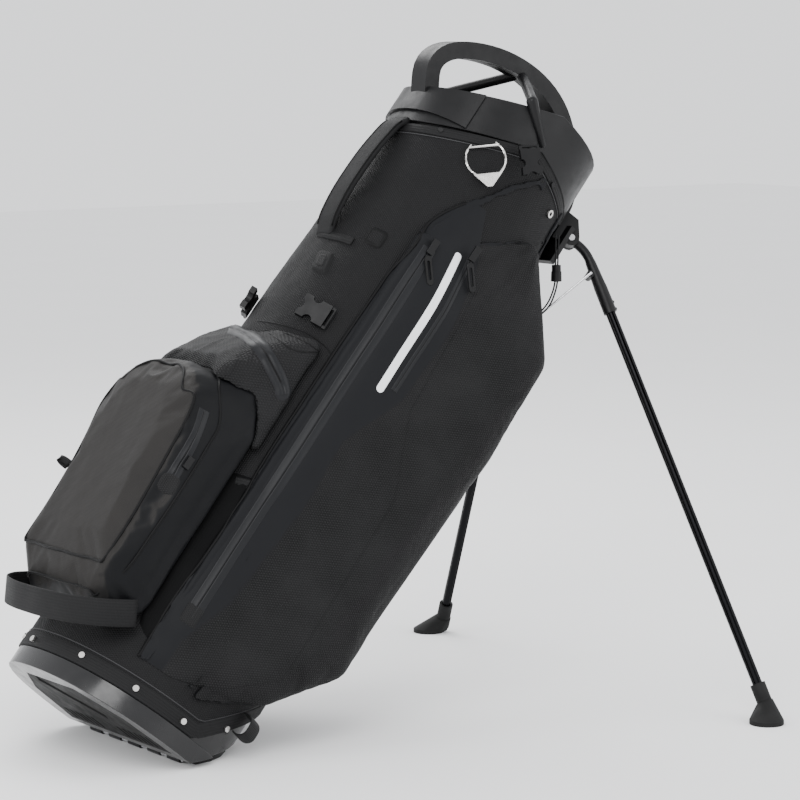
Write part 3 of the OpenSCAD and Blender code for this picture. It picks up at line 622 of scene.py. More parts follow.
def oval(deg, s, grow=0.0, r=None):
    """Point (p, y) of the tube's outline; deg 0 is towards the legs and -90 the right-hand side."""
    spine, leg, side = r or radii(s)
    c, n = np.cos(np.radians(deg)), np.sin(np.radians(deg))
    a = np.where(c < 0, spine, leg) + grow
    return np.stack([np.sign(c) * a * np.abs(c) ** (1 / 1.1),
                     np.sign(n) * (side + grow) * np.abs(n) ** (1 / 1.1)], -1)


def hem_top(p):
    return np.where(p < 0, 817 + 0.42 * p, 817 - 0.22 * p)


def hem_low(p):
    """Lowest fabric over the floor's slope."""
    return np.maximum(22.0, 36 / math.cos(LEAN) + (p - HEEL_P) * math.tan(LEAN))


def tube(name, wall_t=2.5):
    """The fabric tube, with both faces and soft vertical folds."""
    around, rows = 224, 150
    deg = np.linspace(0, 360, around, endpoint=False)
    verts, uv = [], []
    for inside in (0, 1):
        for i in range(rows):
            t = i / (rows - 1)
            p0 = oval(deg, 430)[:, 0]
            lo, hi = hem_low(p0), hem_top(p0)
            s = lo + (hi - lo) * t
            xy = np.array([oval(d, z, -wall_t * inside) for d, z in zip(deg, s)])
            q = np.stack([xy[:, 0], xy[:, 1], s], 1)
            if not inside:
                k = smoothstep(0.0, 0.06, t) * (1 - smoothstep(0.93, 1.0, t))
                fold = fbm(q * np.array([1, 1, 0.28]), 0.016, 3) * 1.4 + fbm(q, 0.045, 9, 2) * 0.5
                n = np.stack([xy[:, 0] / 120 ** 2, xy[:, 1] / 110 ** 2, 0 * s], 1)
                n /= np.linalg.norm(n, axis=1)[:, None]
                q = q + n * (np.clip(fold, -1.2, 1.6) * k)[:, None]
            verts.extend(q)
            uv.extend(zip(np.radians(deg) * 118, s))
    faces = []
    total = around * rows
    for i in range(rows - 1):
        for j in range(around):
            j2 = (j + 1) % around
            a, b, c, d = i * around + j, i * around + j2, (i + 1) * around + j2, (i + 1) * around + j
            faces.append((a, b, c, d))
            faces.append((d + total, c + total, b + total, a + total))
    for i, flip in ((0, False), (rows - 1, True)):
        for j in range(around):
            j2 = (j + 1) % around
            f = (i * around + j, i * around + j + total, i * around + j2 + total, i * around + j2)
            faces.append(f[::-1] if flip else f)
    return make(name, to_world(verts), faces, "tube", "bag", uv, stands_for=("body_shell",),
                slot="charcoal_fabric")


tube_piece = tube("tube_fabric")
TUBE = bvh_of(tube_piece)


def ring(name, height, width, mat, grow=0.5, span=(0, 360), slant=0.0, thick=1.2, step=3.0, **kw):
    """A band of webbing or binding round the tube. height(p) is its middle."""
    deg = np.arange(span[0], span[1] + 0.01, step)
    closed = span[1] - span[0] >= 360
    if closed:
        deg = deg[:-1]
    p0 = oval(deg, 430)[:, 0]
    s = height(p0) if callable(height) else np.full(len(deg), float(height))
    xy = np.array([oval(d, z, grow) for d, z in zip(deg, s)])
    path = np.stack([xy[:, 0], xy[:, 1], s], 1)
    return sweep(name, path, rounded(width, thick, min(0.5, thick / 2.2), 2), (slant, 0, 1), mat,
                 closed=closed, **kw)


ring("hem_band_top", lambda p: hem_top(p) - 5, 11, "webbing", grow=0.6, slot="black_fabric")
ring("hem_band_low", lambda p: hem_low(p) + 9, 17, "webbing", grow=0.7, slot="black_fabric")
ring("hem_stitch_low", lambda p: hem_low(p) + 21, 1.1, "stitch", grow=0.5, thick=0.9, slot="black_fabric")
ring("hem_stitch_top", lambda p: hem_top(p) - 13, 1.1, "stitch", grow=0.5, thick=0.9, slot="black_fabric")

# --- Pockets ---------------------------------------------------------------------------------------

SEAM_LEFT = [(-90, 66), (-91, 100), (-91, 135), (-88, 190), (-86, 252), (-86, 351), (-84, 461), (-79, 569),
             (-76, 637), (-70, 662), (-60, 688), (-45, 712), (-21, 745), (19, 790), (40, 800)]
STRIP_EDGE = np.array([(-65, 60), (-65, 102), (-41, 170), (-30, 297), (-33, 389), (-10, 444), (-1, 468),
                       (4, 560), (0, 640), (-10, 700)])


def apparel_pin(q):
    wall_near = 1 - smoothstep(0, 16, -q[:, 1] - 96)
    edge = 1 - smoothstep(4, 22, q[:, 0] - np.interp(q[:, 2], [66, 351, 569, 712], [-92, -88, -80, -50]))
    return np.clip(np.maximum(wall_near, edge), 0, 1)


def apparel_wrinkle(q, n):
    face = smoothstep(0.3, 0.9, -n[:, 1])
    low = 1 - smoothstep(150, 330, q[:, 2])
    broad = fbm(q * np.array([1.0, 0.2, 0.45]), 0.010, 21) * 2.2
    small = fbm(q * np.array([1.0, 0.3, 1.0]), 0.032, 4, 2) * (0.35 + 0.8 * low)
    return face * (broad + small) - 0.6


def apparel(side_node, name):
    ob = soft(name, side_node, "panel", voxel=3.6, smooth=7, puff=3.0, cap=5.0, pin=apparel_pin,
              wrinkle=apparel_wrinkle)
    q = to_bag(get(ob))
    n = normals(ob) @ BAG.T
    # The thin front of the pocket lies just clear of the tube
    front = np.interp(q[:, 2], [66, 190, 351, 569, 637, 712], [-92, -89, -87, -80, -77, -46])
    for i in np.nonzero((n[:, 1] < -0.05) & (q[:, 0] > front - 6) & (q[:, 0] < 30) & (q[:, 2] < 640))[0]:
        hit = cast([TUBE], (q[i, 0], -420, q[i, 2]), (0, 1, 0))
        if hit is not None:
            q[i, 1] = min(q[i, 1], hit[0][1] - 0.8 - 3.6 * smoothstep(-2, 16, q[i, 0] - front[i]))
    put(ob, to_world(q))
    edge = np.interp(q[:, 2], STRIP_EDGE[:, 1], STRIP_EDGE[:, 0])
    mask = smoothstep(-1.5, 1.5, q[:, 0] - edge) * smoothstep(0.15, 0.5, -n[:, 1])
    paint(ob, "emboss", mask)
    return ob


apparel_right = apparel("apparel_pocket_right", "apparel_pocket_cloth_right")
mirrored(apparel_right, "apparel_pocket_cloth_left", stands_for=("apparel_pocket_left",))
APP = bvh_of(apparel_right)


def both(ob, stands_for=(), body=None):
    """Adds the left-hand copy of a right-hand piece."""
    name = ob.name.replace("_right", "_left") if "_right" in ob.name else ob.name + "_left"
    return mirrored(ob, name, body, stands_for)


def welded_strip(name):
    """The front of the pocket from its seam: smooth coated cloth along the zip, embossed beyond it."""
    n, rows = 44, 165
    side = np.array(smooth_path([(p, s, 0) for p, s in SEAM_LEFT], 4))[:, :2]
    pts = np.zeros((rows, n, 3))
    for i in range(rows):
        v = i / (rows - 1)
        s0 = 62 + 652 * v
        left = float(np.interp(s0, side[:, 1], side[:, 0]))
        right = max(float(np.interp(s0, [60, 330, 450, 640, 714], [52, 52, 14, 8, -24])), left + 12)
        for k in range(n):
            p = left + (right - left) * k / (n - 1)
            low = float(np.interp(p, [-92, -55, -22, 2, 39, 60], [62, 62, 72, 86, 121, 137]))
            s1 = low + (714 - low) * v
            rise = 0.8 + 3.6 * smoothstep(0, 16, p - left) * smoothstep(0, 0.02, v)
            base, pocket = cast([TUBE], (p, -420, s1), Y), cast([APP], (p, -420, s1), Y)
            y = base[0][1] - rise if base is not None else -95.0
            if pocket is not None:
                y = min(y, pocket[0][1] - 0.35)
            pts[i, k] = p, y, s1
    y = pts[:, :, 1]
    for _ in range(10):
        y[1:-1, 1:-1] = 0.2 * (y[1:-1, 1:-1] + y[2:, 1:-1] + y[:-2, 1:-1] + y[1:-1, 2:] + y[1:-1, :-2])
    y[1:-1, 1:-1] -= 0.5
    y[:, -1] += 2.0
    verts = pts.reshape(-1, 3)
    faces = [(i * n + k, i * n + k + 1, (i + 1) * n + k + 1, (i + 1) * n + k) for i in range(rows - 1)
             for k in range(n - 1)]
    ob = make(name, to_world(verts), faces, "panel", "bag", [(q[0], q[2]) for q in verts],
              slot="charcoal_fabric")
    edge = np.interp(verts[:, 2], STRIP_EDGE[:, 1], STRIP_EDGE[:, 0])
    paint(ob, "emboss", smoothstep(-1.5, 1.5, verts[:, 0] - edge))
    return ob, pts[:, 0]


strip, seam = welded_strip("apparel_strip_right")
both(strip)
STRIP = bvh_of(strip)
SKINS = [STRIP, APP, TUBE]
both(sweep("apparel_piping_right", resample(smooth_path(seam[::6], 3), 4.0), circle(2.0, 8), SKEW, "piping",
           slot="black_fabric"))


def ball_pin(q):
    return 1 - smoothstep(-2, 22, -q[:, 0] - 112)


def ball_wrinkle(q, n):
    face = smoothstep(0.3, 0.9, -n[:, 0])
    side = smoothstep(0.4, 0.9, np.abs(n[:, 1]))
    low = 1 - smoothstep(80, 150, q[:, 2])
    pleat = np.sin((q[:, 0] * 0.35 + q[:, 2]) * 0.33) * side * low * 1.2
    return (fbm(q * np.array([0.3, 1, 0.7]), 0.011, 33) * (1.0 + 1.4 * side) + fbm(q, 0.05, 8,
        2) * 0.35 * (face + side)
            + pleat - 0.8)


ball = soft("ball_pocket_cloth", "ball_pocket", "ball", voxel=4.0, smooth=6, puff=3.5, cap=6.0,
            pin=ball_pin,
            wrinkle=ball_wrinkle)
n_ball = normals(ball) @ BAG.T
paint(ball, "emboss", smoothstep(0.55, 0.7, -n_ball[:, 0]))
BALL = bvh_of(ball)


def shoulder_pin(q):
    return 1 - smoothstep(0, 14, -q[:, 0] - 108)


def shoulder_wrinkle(q, n):
    sharp = -np.abs(fbm(q * np.array([1.0, 0.8, 0.5]), 0.024, 77, 3))
    return sharp * 3.2 + 1.4 + fbm(q, 0.06, 12, 2) * 0.4


shoulder = soft("shoulder_pocket_cloth", "shoulder_pocket", "shoulder", voxel=4.0, smooth=10, puff=3.0,
                cap=4.0,
                pin=shoulder_pin, wrinkle=shoulder_wrinkle)
SHO = bvh_of(shoulder)

# --- Pieces laid on the soft forms -----------------------------------------------------------------


def outline(w, h, r, n=8):
    """A rounded rectangle, w by h with corner radius r."""
    pts = []
    for cx, cy, a0 in ((w / 2 - r, h / 2 - r, 0), (r - w / 2, h / 2 - r, 90), (r - w / 2, r - h / 2, 180),
                       (w / 2 - r, r - h / 2, 270)):
        for k in range(n + 1):
            a = math.radians(a0 + 90 * k / n)
            pts.append((cx + r * math.cos(a), cy + r * math.sin(a)))
    return resample(np.array(pts + pts[:1], float), 2.5)[:-1]


def patch(name, trees, centre, direction, right, up, edge, lift, mat, rings=8, crown=0.0, soft_edge=0.25,
          **kw):
    """A cloth patch pressed onto a surface: edge is its outline (right, up) in mm about centre."""
    c, d = np.array(centre, float), np.array(direction, float)
    d /= np.linalg.norm(d)
    r, u = np.array(right, float), np.array(up, float)
    edge = np.array(edge, float)
    verts, uv, rows = [], [], []
    for k in range(rings + 1):
        t = 1 - (1 - k / rings) ** 1.6
        row = []
        for a, b in (edge * t if k else edge[:1] * 0):
            q = c + r * a + u * b
            hit = cast(trees, q - d * 220, d) if trees else (q, -d)
            if hit is None:
                hit = (verts[-1] + d * 0.5 if verts else q, -d)
            nor = hit[1] if np.dot(hit[1], d) < 0 else -hit[1]
            drop = smoothstep(1 - soft_edge, 1.0, t)
            verts.append(hit[0] + nor * (lift * (1 - drop * 1.25) + crown * (1 - t * t)))
            uv.append((a, b))
            row.append(len(verts) - 1)
        rows.append(row)
    faces = []
    n = len(edge)
    for j in range(n):
        faces.append((rows[0][0], rows[1][j], rows[1][(j + 1) % n]))
    for a, b in zip(rows[1:], rows[2:]):
        for j in range(n):
            faces.append((a[j], b[j], b[(j + 1) % n], a[(j + 1) % n]))
    return make(name, to_world(verts), faces, mat, "bag", uv, **kw)


def ribbon(name, trees, points, direction, profile, mat, step=3.0, **kw):
    """A band laid along a course of points, pressed onto a surface along a direction."""
    P = resample(smooth_path(points, 4), step)
    d = np.array(direction, float)
    d /= np.linalg.norm(d)
    T = np.gradient(P, axis=0)
    N = np.cross(T, d)
    N /= np.linalg.norm(N, axis=1)[:, None]
    verts, uv, rows = [], [], []
    for i in range(len(P)):
        row = []
        for off, h in profile:
            hit = cast(trees, P[i] + N[i] * off - d * 160, d)
            if hit is None:
                row.append(None)
                continue
            nor = hit[1] if np.dot(hit[1], d) < 0 else -hit[1]
            verts.append(hit[0] + nor * h)
            uv.append((off, i * step))
            row.append(len(verts) - 1)
        rows.append(row)
    faces = []
    for a, b in zip(rows, rows[1:]):
        for j in range(len(profile) - 1):
            f = (a[j], a[j + 1], b[j + 1], b[j])
            if None not in f:
                faces.append(f)
    return make(name, to_world(verts), faces, mat, "bag", uv, **kw)


def zip_profile(half, rise=1.0):
    return [(-half, -0.3), (-half + 0.5, 0.55), (-half + 1.4, 0.5), (-1.6, rise * 0.75), (-0.8, rise),
            (-0.35, 0.25),
            (0.35, 0.25), (0.8, rise), (1.6, rise * 0.75), (half - 1.4, 0.5), (half - 0.5, 0.55), (half,
                -0.3)]


DARK = {"slot": "black_fabric"}

# Apparel pocket zips, stripe, end patches and garages
zip_a = ribbon("long_zip_right", SKINS, [(-70, -200, 128), (-66, -200, 350), (-62, -200, 632)], Y,
               zip_profile(8.0, 1.2), "coated", stands_for=("long_zips",), **DARK)
both(zip_a)
slit_a = ribbon("long_zip_slit_right", SKINS, [(-70, -200, 128), (-66, -200, 350), (-62, -200, 632)], Y,
                [(-0.5, 0.34), (0.5, 0.34)], "piping", **DARK)
both(slit_a)
both(patch("long_zip_end_right", SKINS, (-70, -200, 131), Y, X, Z, outline(19, 26, 3), 1.1, "end_patch",
           **DARK))
zip_v = ribbon("valuables_zip_right", SKINS, [(-15, -200, 470), (-14, -200, 560), (-13, -200, 656)], Y,
               zip_profile(4.0, 0.8), "coated", stands_for=("valuables_zips",), **DARK)
both(zip_v)
both(ribbon("valuables_slit_right", SKINS, [(-15, -200, 474), (-14, -200, 560), (-13, -200, 652)], Y,
            [(-0.4, 0.34), (0.4, 0.34)], "piping", **DARK))
both(patch("reflective_stripe_right", SKINS, (-28.5, -200, 555), Y, X, (0.005, 0, 1), outline(9, 196, 4.4),
           0.8, "stripe", rings=5, soft_edge=0.08, stands_for=("reflective_stripes",),
           slot="reflective_white"))


def garage(name, place):
    path = [wall(place, -18, (0, y, z)) for y, z in
            ((-1.0, -9), (-1.0, -6), (-0.9, -2), (-0.6, 2), (-0.2, 5.5), (0.6, 8.5), (1.8, 10.4), (3.0,
                11.2))]
    body = sweep(name, np.array(path), circle(7.4, 28), wall((0, 0, 0), -18, (1, 0, 0)), "rubberised",
                 scale=[1.0, 1.0, 0.99, 0.97, 0.92, 0.8, 0.55, 0.15],
                 stands_for=("zip_garages",) if "long" in name else (), slot="moulded_black")
    mouth = sweep(name.replace("_right", "_mouth_right"), np.array([wall(place, -18, (0, -1,
        z)) for z in (-9.25, -8.9)]),
                  circle(6.2, 28), wall((0, 0, 0), -18, (1, 0, 0)), "piping", slot="moulded_black")
    both(body)
    both(mouth)


garage("long_garage_right", (-60.5, -110, 640))
garage("valuables_garage_right", (-16.5, -123.5, 664))

# Stretch panels with their binding
zone = np.array([(-104, 92), (-97, 84), (-89.5, 80), (-89.5, 135), (-86.5, 190), (-84.5, 252), (-84.5, 300),
                 (-98, 296),
                 (-113, 290), (-119, 240), (-116, 160), (-104, 92)], float)
zone = resample(zone, 5.0)[:-1] - np.array([-100, 190])
both(patch("stretch_panel_right", [TUBE], (-100, -200, 190), Y, X, Z, zone, 2.2, "stretch", rings=14,
           crown=1.0,
           soft_edge=0.1, stands_for=("stretch_pockets",), **DARK))
both(ribbon("stretch_binding_right", [TUBE, BALL, SHO], [(-136, -200, 283), (-110, -200, 292), (-80, -200,
    303)], (0.35, 1, 0),
            [(-6.5, 0.3), (-6.0, 2.0), (-4.5, 2.4), (4.5, 2.4), (6.0, 2.0), (6.5, 0.3)], "webbing",
            stands_for=("stretch_bindings",), **DARK))

# Ball pocket: edge cords, side band with its zip and end patch


def whole_loop(half):
    """A closed course from its right-hand half, which starts and ends on the middle plane."""
    return half + [q * np.array((1, -1, 1)) for q in half[::-1][1:-1]]


FACE = [(-193, -98, 126), (-193, -99, 170), (-196, -99, 220), (-199, -99, 262), (-202, -99, 300), (-205,
    -90, 330)]
face_edge = [cast([BALL], np.array(q) - np.array((0.7, 0.7, 0)) * 60, (0.7, 0.7, 0)) for q in FACE]
right_edge = [h[0] for h in face_edge if h is not None]
top_edge = []
for deg in (-62, -40, -20, 0):
    a = math.radians(deg)
    q = np.array((-206, 74 * math.sin(a), 300 + 72 * math.cos(a)))
    d = np.array((0.6, -0.8 * math.sin(a) * 0.6, -0.8 * math.cos(a)))
    h = cast([BALL], q - d * 60, d / np.linalg.norm(d))
    if h is not None:
        top_edge.append(h[0])
low_edge = []
for y in (0, -30, -60, -84):
    d = np.array((0.6, 0.0 if y > -80 else 0.4, 0.8))
    h = cast([BALL], np.array((-188, y, 112)) - d * 60, d / np.linalg.norm(d))
    if h is not None:
        low_edge.append(h[0])
half = low_edge + right_edge + top_edge
loop = whole_loop(half)
face_cord = resample(smooth_path(loop + loop[:1], 4), 4.0)[:-1]
sweep("ball_face_piping", face_cord, circle(1.7, 8), SKEW, "piping", closed=True, **DARK)
rear = [(-158, -140, s) for s in (92, 130, 170, 210, 250, 290, 320)]
rear_edge = [h[0] for h in (cast([BALL], np.array(q, float), (0, 1, 0)) for q in rear) if h is not None]
rear_top = []
for y, s in ((-78, 346), (-60, 362), (-35, 372), (0, 376)):
    d = np.array((0, 0.55 if y < -50 else 0.1, -1.0))
    h = cast([BALL], np.array((-172, y, s)) - d * 60, d / np.linalg.norm(d))
    if h is not None:
        rear_top.append(h[0])
rear_low = []
for y in (0, -35, -66):
    d = np.array((0.6, 0.0, 0.8))
    h = cast([BALL], np.array((-166, y, 90)) - d * 60, d / np.linalg.norm(d))
    if h is not None:
        rear_low.append(h[0])
half = rear_low + rear_edge + rear_top
loop = whole_loop(half)
sweep("ball_rear_piping", resample(smooth_path(loop + loop[:1], 4), 4.0)[:-1], circle(1.6, 8), SKEW,
      "piping", closed=True, **DARK)
both(ribbon("ball_zip_right", [BALL], [(-172, -150, 232), (-174, -150, 270), (-177, -150, 300), (-180, -150,
    322)], Y,
            zip_profile(6.5, 1.0), "coated", stands_for=("ball_zip",), **DARK))
both(ribbon("ball_zip_slit_right", [BALL], [(-172, -150, 236), (-174, -150, 270), (-180, -150, 320)], Y,
            [(-0.5, 0.35), (0.5, 0.35)], "piping", **DARK))
both(patch("ball_zip_end_right", [BALL], (-171, -150, 232), Y, (0.99, 0, 0.1), (-0.1, 0, 0.99), outline(20,
    26, 9), 1.0,
           "end_patch", **DARK))
sweep("ball_side_tab", smooth_path([(-181, 97, 224), (-186, 103, 225), (-190, 107, 224), (-186, 104.5,
    221.5),
                                    (-180, 98, 220)], 4), rounded(9, 1.2, 0.5, 2), (0.3, 0.2, 0.93),
                                    "webbing", **DARK)

# Shoulder pocket: curved welt zip and fold seams
VIEW = (0.47, 0.865, 0.17)
WELT = [(-146, 22, 447), (-144, 0, 444), (-141, -22, 438), (-136, -45, 429), (-127, -67, 416), (-113, -85,
    402),
        (-107, -90, 394)]
welt = ribbon("shoulder_zip_welt", [SHO, TUBE], WELT, VIEW,
              [(-9.5, -0.4), (-8.5, 0.9), (-5.0, 1.2), (-1.6, 1.9), (-0.6, 0.4), (0.6, 0.4), (1.6, 1.9),
               (5.0, 1.2),
               (8.5, 0.9), (9.5, -0.4)], "coated", stands_for=("shoulder_zip",), **DARK)
patch("shoulder_zip_end", [SHO, TUBE], (-108, -88, 395), VIEW, (0.80, -0.6, 0), (0.1, 0.1, 0.98),
      outline(19, 19, 9.4), 0.9,
      "coated", **DARK)
ribbon("shoulder_zip_slit", [SHO, TUBE], [(-136, -45, 429), (-127, -67, 416), (-115, -83, 404)], VIEW,
       [(-2.4, 0.9), (0, 1.25), (2.4, 0.9)], "piping", **DARK)
for k, course in enumerate((
        [(-133, -20, 458), (-124, -44, 462), (-110, -66, 462), (-94, -84, 460)],
        [(-133, -20, 458), (-127, -46, 450), (-113, -68, 446), (-94, -84, 460)],
        [(-141, -12, 466), (-124, -35, 472), (-110, -64, 474), (-90, -86, 470), (-80, -94, 462)])):
    ribbon("shoulder_fold_%d" % k, [SHO, TUBE], course, VIEW, [(-0.9, -0.3), (-0.4, 0.7), (0.4, 0.7), (0.9,
        -0.3)],
           "piping", **DARK)

# Patches on the spine side
patch("label_patch", [TUBE], (-122, -29, 562), (1, 0.35, 0), (0.33, -0.94, 0), (0.12, 0.25, 0.96),
      outline(26, 31, 4), 2.6,
      "webbing", stands_for=("spine_patches",), **DARK)
patch("label_frame", [TUBE], (-122, -29, 562), (1, 0.35, 0), (0.33, -0.94, 0), (0.12, 0.25, 0.96),
      outline(15, 20, 3), 3.1,
      "end_patch", **DARK)
patch("anchor_patch", [TUBE], (-103, -67, 613), (0.72, 0.69, 0), (0.69, -0.72, 0), (0, 0, 1), outline(25,
    25, 6), 1.9,
      "piping", **DARK)
patch("anchor_patch_inner", [TUBE], (-103, -67, 613), (0.72, 0.69, 0), (0.69, -0.72, 0), (0, 0, 1),
      outline(19, 19, 4), 2.4,
      "tube", **DARK)

# --- Webbing and handles -----------------------------------------------------------------------------


def strap(name, place, yaw, roll, course, width, mat="webbing", centre=0.0, thick=1.6, closed=False, **kw):
    """Webbing through local (y, z) points of a wall frame, its width along the local x."""
    pts = smooth_path([(centre, y, z) for y, z in course], 4)
    path = np.array([wall(place, yaw, tuple(q), roll) for q in pts])
    return sweep(name, path, rounded(width, thick, thick / 2.3, 2), wall((0, 0, 0), yaw, (1, 0, 0), roll),
                 mat,
                 closed=closed, **kw)


strap("towel_tab_loop", (-72, -87.5, 786), -36, -LEAN_DEG,
      [(-0.4, 9), (-1.8, 4), (-4.6, -6), (-6.0, -14), (-3.8, -17.8), (-1.4, -14), (-1.0, -6)], 25,
      stands_for=("towel_tab",), **DARK)
strap("cuff_strap_band", (-62, -93.2, 842), -27, -LEAN_DEG,
      [(-3.6, -1), (-4.2, -10), (-4.4, -30), (-5.2, -48), (-7.4, -54), (-5.4, -57), (-3.2, -53), (-3.0,
          -44)], 20,
      centre=8.0, stands_for=("cuff_strap",), **DARK)
buckle_strap = strap("buckle_webbing_right", (-103, -75, 499), -46, 90,
                     [(2.6, 33), (-0.6, 26), (-2.8, 16), (-5.2, 8), (-7.6, 4), (-6.6, 1.2), (-4.2, 1.6)],
                     24,
                     stands_for=("strap_tabs",), **DARK)
both(buckle_strap)
HANDLE = [(-122, 0, 598), (-126, 0, 606), (-131, 0, 620), (-134.5, 0, 645), (-135.5, 0, 670), (-134.5, 0,
    705),
          (-131, 0, 735), (-127, 0, 755), (-119, 0, 768)]
handle_path = resample(smooth_path(HANDLE, 6), 5.0)
swell = [0.93 + 0.07 * math.sin(math.pi * i / (len(handle_path) - 1)) for i in range(len(handle_path))]
grip = sweep("spine_handle_grip", handle_path, rounded(31, 8.5, 3.8, 5), (0, 1, 0), "handle", scale=swell,
             stands_for=("spine_handle",), slot="charcoal_fabric")
for side in (-1, 1):
    edge = [(p - 3.4, side * 14.2, s) for p, y, s in handle_path[2:-2]]
    sweep("spine_handle_edge_%s" % ("right" if side < 0 else "left"), np.array(edge), circle(1.3, 8), (0, 1,
        0), "piping",
          **DARK)
ribbon("spine_handle_tab", [TUBE], [(-130, 6, 598), (-126, -14, 597), (-121, -34, 597), (-113, -48, 597)],
       (0.9, 0.4, 0),
       [(-5, 0.2), (-4.6, 1.6), (4.6, 1.6), (5, 0.2)], "webbing", **DARK)

LOOP = [(10, -105), (-4, -105), (-30, -97), (-52, -72), (-63, -36), (-65, 0)]
LOOP = LOOP + [(u, -y) for u, y in LOOP[-2::-1]]
tilt = math.radians(33)
loop_path = smooth_path([(-130 + u * math.cos(tilt), y, 92 + u * math.sin(tilt)) for u, y in LOOP], 5)
sweep("lower_loop_strap", resample(loop_path, 5.0), rounded(30, 2.0, 0.9, 2), (-math.sin(tilt), 0,
    math.cos(tilt)),
      "webbing", stands_for=("lower_carry_loop",), **DARK)
tab = []
for y, z in ((0, 25), (-3, 25.6), (-9, 25), (-14, 20), (-15, 12), (-14, 5), (-9, 1), (-3, 0.6), (0, 2)):
    c, s = math.cos(math.radians(26)), math.sin(math.radians(26))
    tab.append((60 - y * s, -121.6 + y * c, 56 + z))
sweep("base_pull_strap", resample(smooth_path(tab, 4), 2.5), rounded(25, 1.8, 0.8, 2),
      (math.cos(math.radians(26)), math.sin(math.radians(26)), 0), "webbing",
      stands_for=("base_pull_loop",), **DARK)

pad = patch("hip_pad_cover", None, (124.8, 0, 365), (-1, 0, 0), (0, 1, 0), (0, 0, 1), outline(76, 248, 14),
            7.5, "mesh",
            rings=12, crown=3.2, soft_edge=0.22, stands_for=("hip_pad",), slot="black_fabric")


# --- Finishes on the CAD pieces -----------------------------------------------------------------------

FINISH = {
    "base_tray": ("gloss", 1.2), "base_tread": ("rubber", 0.8), "base_rivets": ("nickel", 0.6),
    "heel_plate": ("moulded", 1.0), "heel_pin": ("steel", 0.3), "cuff_ring": ("moulded", 1.2),
    "cuff_rivets": ("moulded", 0.6), "cuff_eyelets": ("nickel", 0.5), "top_dividers": ("lining", 1.0),
    "stay_rods": ("anodised", 0.3), "leg_bracket": ("moulded", 1.0), "leg_pins": ("steel", 0.4),
    "towel_ring": ("nickel", 0.0), "cuff_buckle": ("moulded", 0.6), "strap_buckle_right": ("moulded", 0.6),
    "strap_buckle_left": ("moulded", 0.6), "long_zip_slider_right": ("moulded", 0.6),
    "long_zip_slider_left": ("moulded", 0.6), "valuables_slider_right": ("moulded", 0.6),
    "valuables_slider_left": ("moulded", 0.6), "ball_zip_slider": ("moulded", 0.6),
    "long_zip_pull_right": ("rubber", 0.6), "long_zip_pull_left": ("rubber", 0.6),
    "actuator_rod": ("steel", 0.0), "actuator_guide": ("moulded", 0.5), "actuator_link_right": ("steel",
        0.0),
    "actuator_link_left": ("steel", 0.0), "leg_elbow_right": ("moulded", 0.6), "leg_elbow_left": ("moulded",
        0.6),
    "leg_tube_right": ("anodised", 0.0), "leg_tube_left": ("anodised", 0.0), "leg_foot_right": ("rubber",
        0.8),
    "leg_foot_left": ("rubber", 0.8), "top_handle": ("moulded", 4.0), "cord_lock": ("moulded", 0.5),
    "cord_lock_button": ("moulded", 0.5),
}
shade = bpy.data.node_groups.new("shade_by_angle", "GeometryNodeTree")
shade.interface.new_socket("Geometry", in_out="INPUT", socket_type="NodeSocketGeometry")
shade.interface.new_socket("Geometry", in_out="OUTPUT", socket_type="NodeSocketGeometry")
g_in, g_out = shade.nodes.new("NodeGroupInput"), shade.nodes.new("NodeGroupOutput")
faces_smooth = shade.nodes.new("GeometryNodeSetShadeSmooth")
edges_sharp = shade.nodes.new("GeometryNodeSetShadeSmooth")
edges_sharp.domain = "EDGE"
edges_sharp.inputs["Shade Smooth"].default_value = False
angle = shade.nodes.new("GeometryNodeInputMeshEdgeAngle")
steep = shade.nodes.new("FunctionNodeCompare")
steep.inputs[1].default_value = math.radians(34)
shade.links.new(angle.outputs["Unsigned Angle"], steep.inputs[0])
shade.links.new(g_in.outputs[0], faces_smooth.inputs["Geometry"])
shade.links.new(faces_smooth.outputs[0], edges_sharp.inputs["Geometry"])
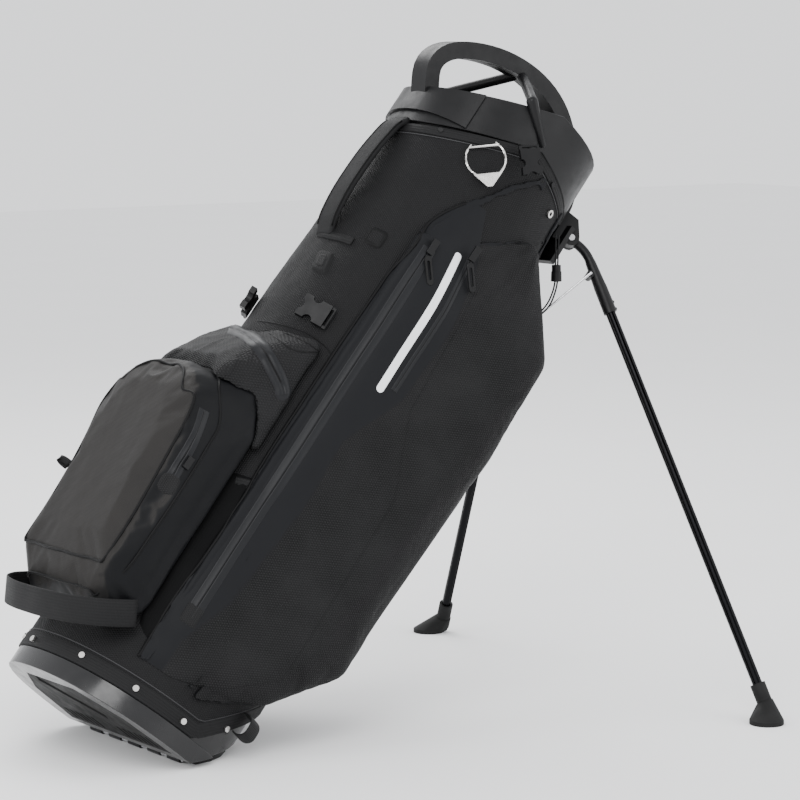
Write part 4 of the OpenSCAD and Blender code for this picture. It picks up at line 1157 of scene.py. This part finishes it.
shade.links.new(steep.outputs["Result"], edges_sharp.inputs["Selection"])
shade.links.new(edges_sharp.outputs[0], g_out.inputs[0])
for node, (mat, bevel) in FINISH.items():
    ob = frame["nodes"][node]
    ob.data.materials.clear()
    ob.data.materials.append(M[mat])
    ob.modifiers.new("weld", "WELD")
    ob.modifiers.new("shade", "NODES").node_group = shade
    if bevel:
        b = ob.modifiers.new("edge", "BEVEL")
        b.width = bevel * MM
        b.segments = 2
        b.limit_method = "ANGLE"
        b.angle_limit = math.radians(34)
        b.harden_normals = False
        w = ob.modifiers.new("normals", "WEIGHTED_NORMAL")
        w.keep_sharp = True

# --- Stage, light -----------------------------------------------------------------------------------------

me = bpy.data.meshes.new("floor")
R = 9.0
me.from_pydata([(-R, -R, 0), (R, -R, 0), (R, R, 0), (-R, R, 0)], [], [(0, 1, 2, 3)])
floor = bpy.data.objects.new("floor", me)
bpy.context.collection.objects.link(floor)
fm = Mat("floor_paper")
floor_mat = fm.done(fm.mix(fm.noise(3.0), (0.90, 0.90, 0.90), (0.93, 0.93, 0.93)), 0.85)
me.materials.append(floor_mat)

world = bpy.data.worlds.new("studio")
bpy.context.scene.world = world
world.use_nodes = True
world.node_tree.nodes["Background"].inputs[0].default_value = (0.97, 0.98, 1.0, 1)
world.node_tree.nodes["Background"].inputs[1].default_value = 1.5


def area(name, at, size, power, to=(0.25, 0, 0.4)):
    d = bpy.data.lights.new(name, "AREA")
    d.shape = "RECTANGLE"
    d.size, d.size_y = size
    d.energy = power
    o = bpy.data.objects.new(name, d)
    bpy.context.collection.objects.link(o)
    o.location = at
    o.rotation_mode = "QUATERNION"
    o.rotation_quaternion = (Vector(to) - Vector(at)).to_track_quat("-Z", "Y")


area("key", (-1.5, -1.9, 2.3), (1.6, 1.6), 62)
area("fill", (1.9, -2.2, 1.3), (1.8, 1.8), 22)
area("rim", (0.6, 2.0, 2.4), (2.0, 1.2), 40)
area("side", (-2.4, 0.4, 0.9), (1.2, 1.6), 26)
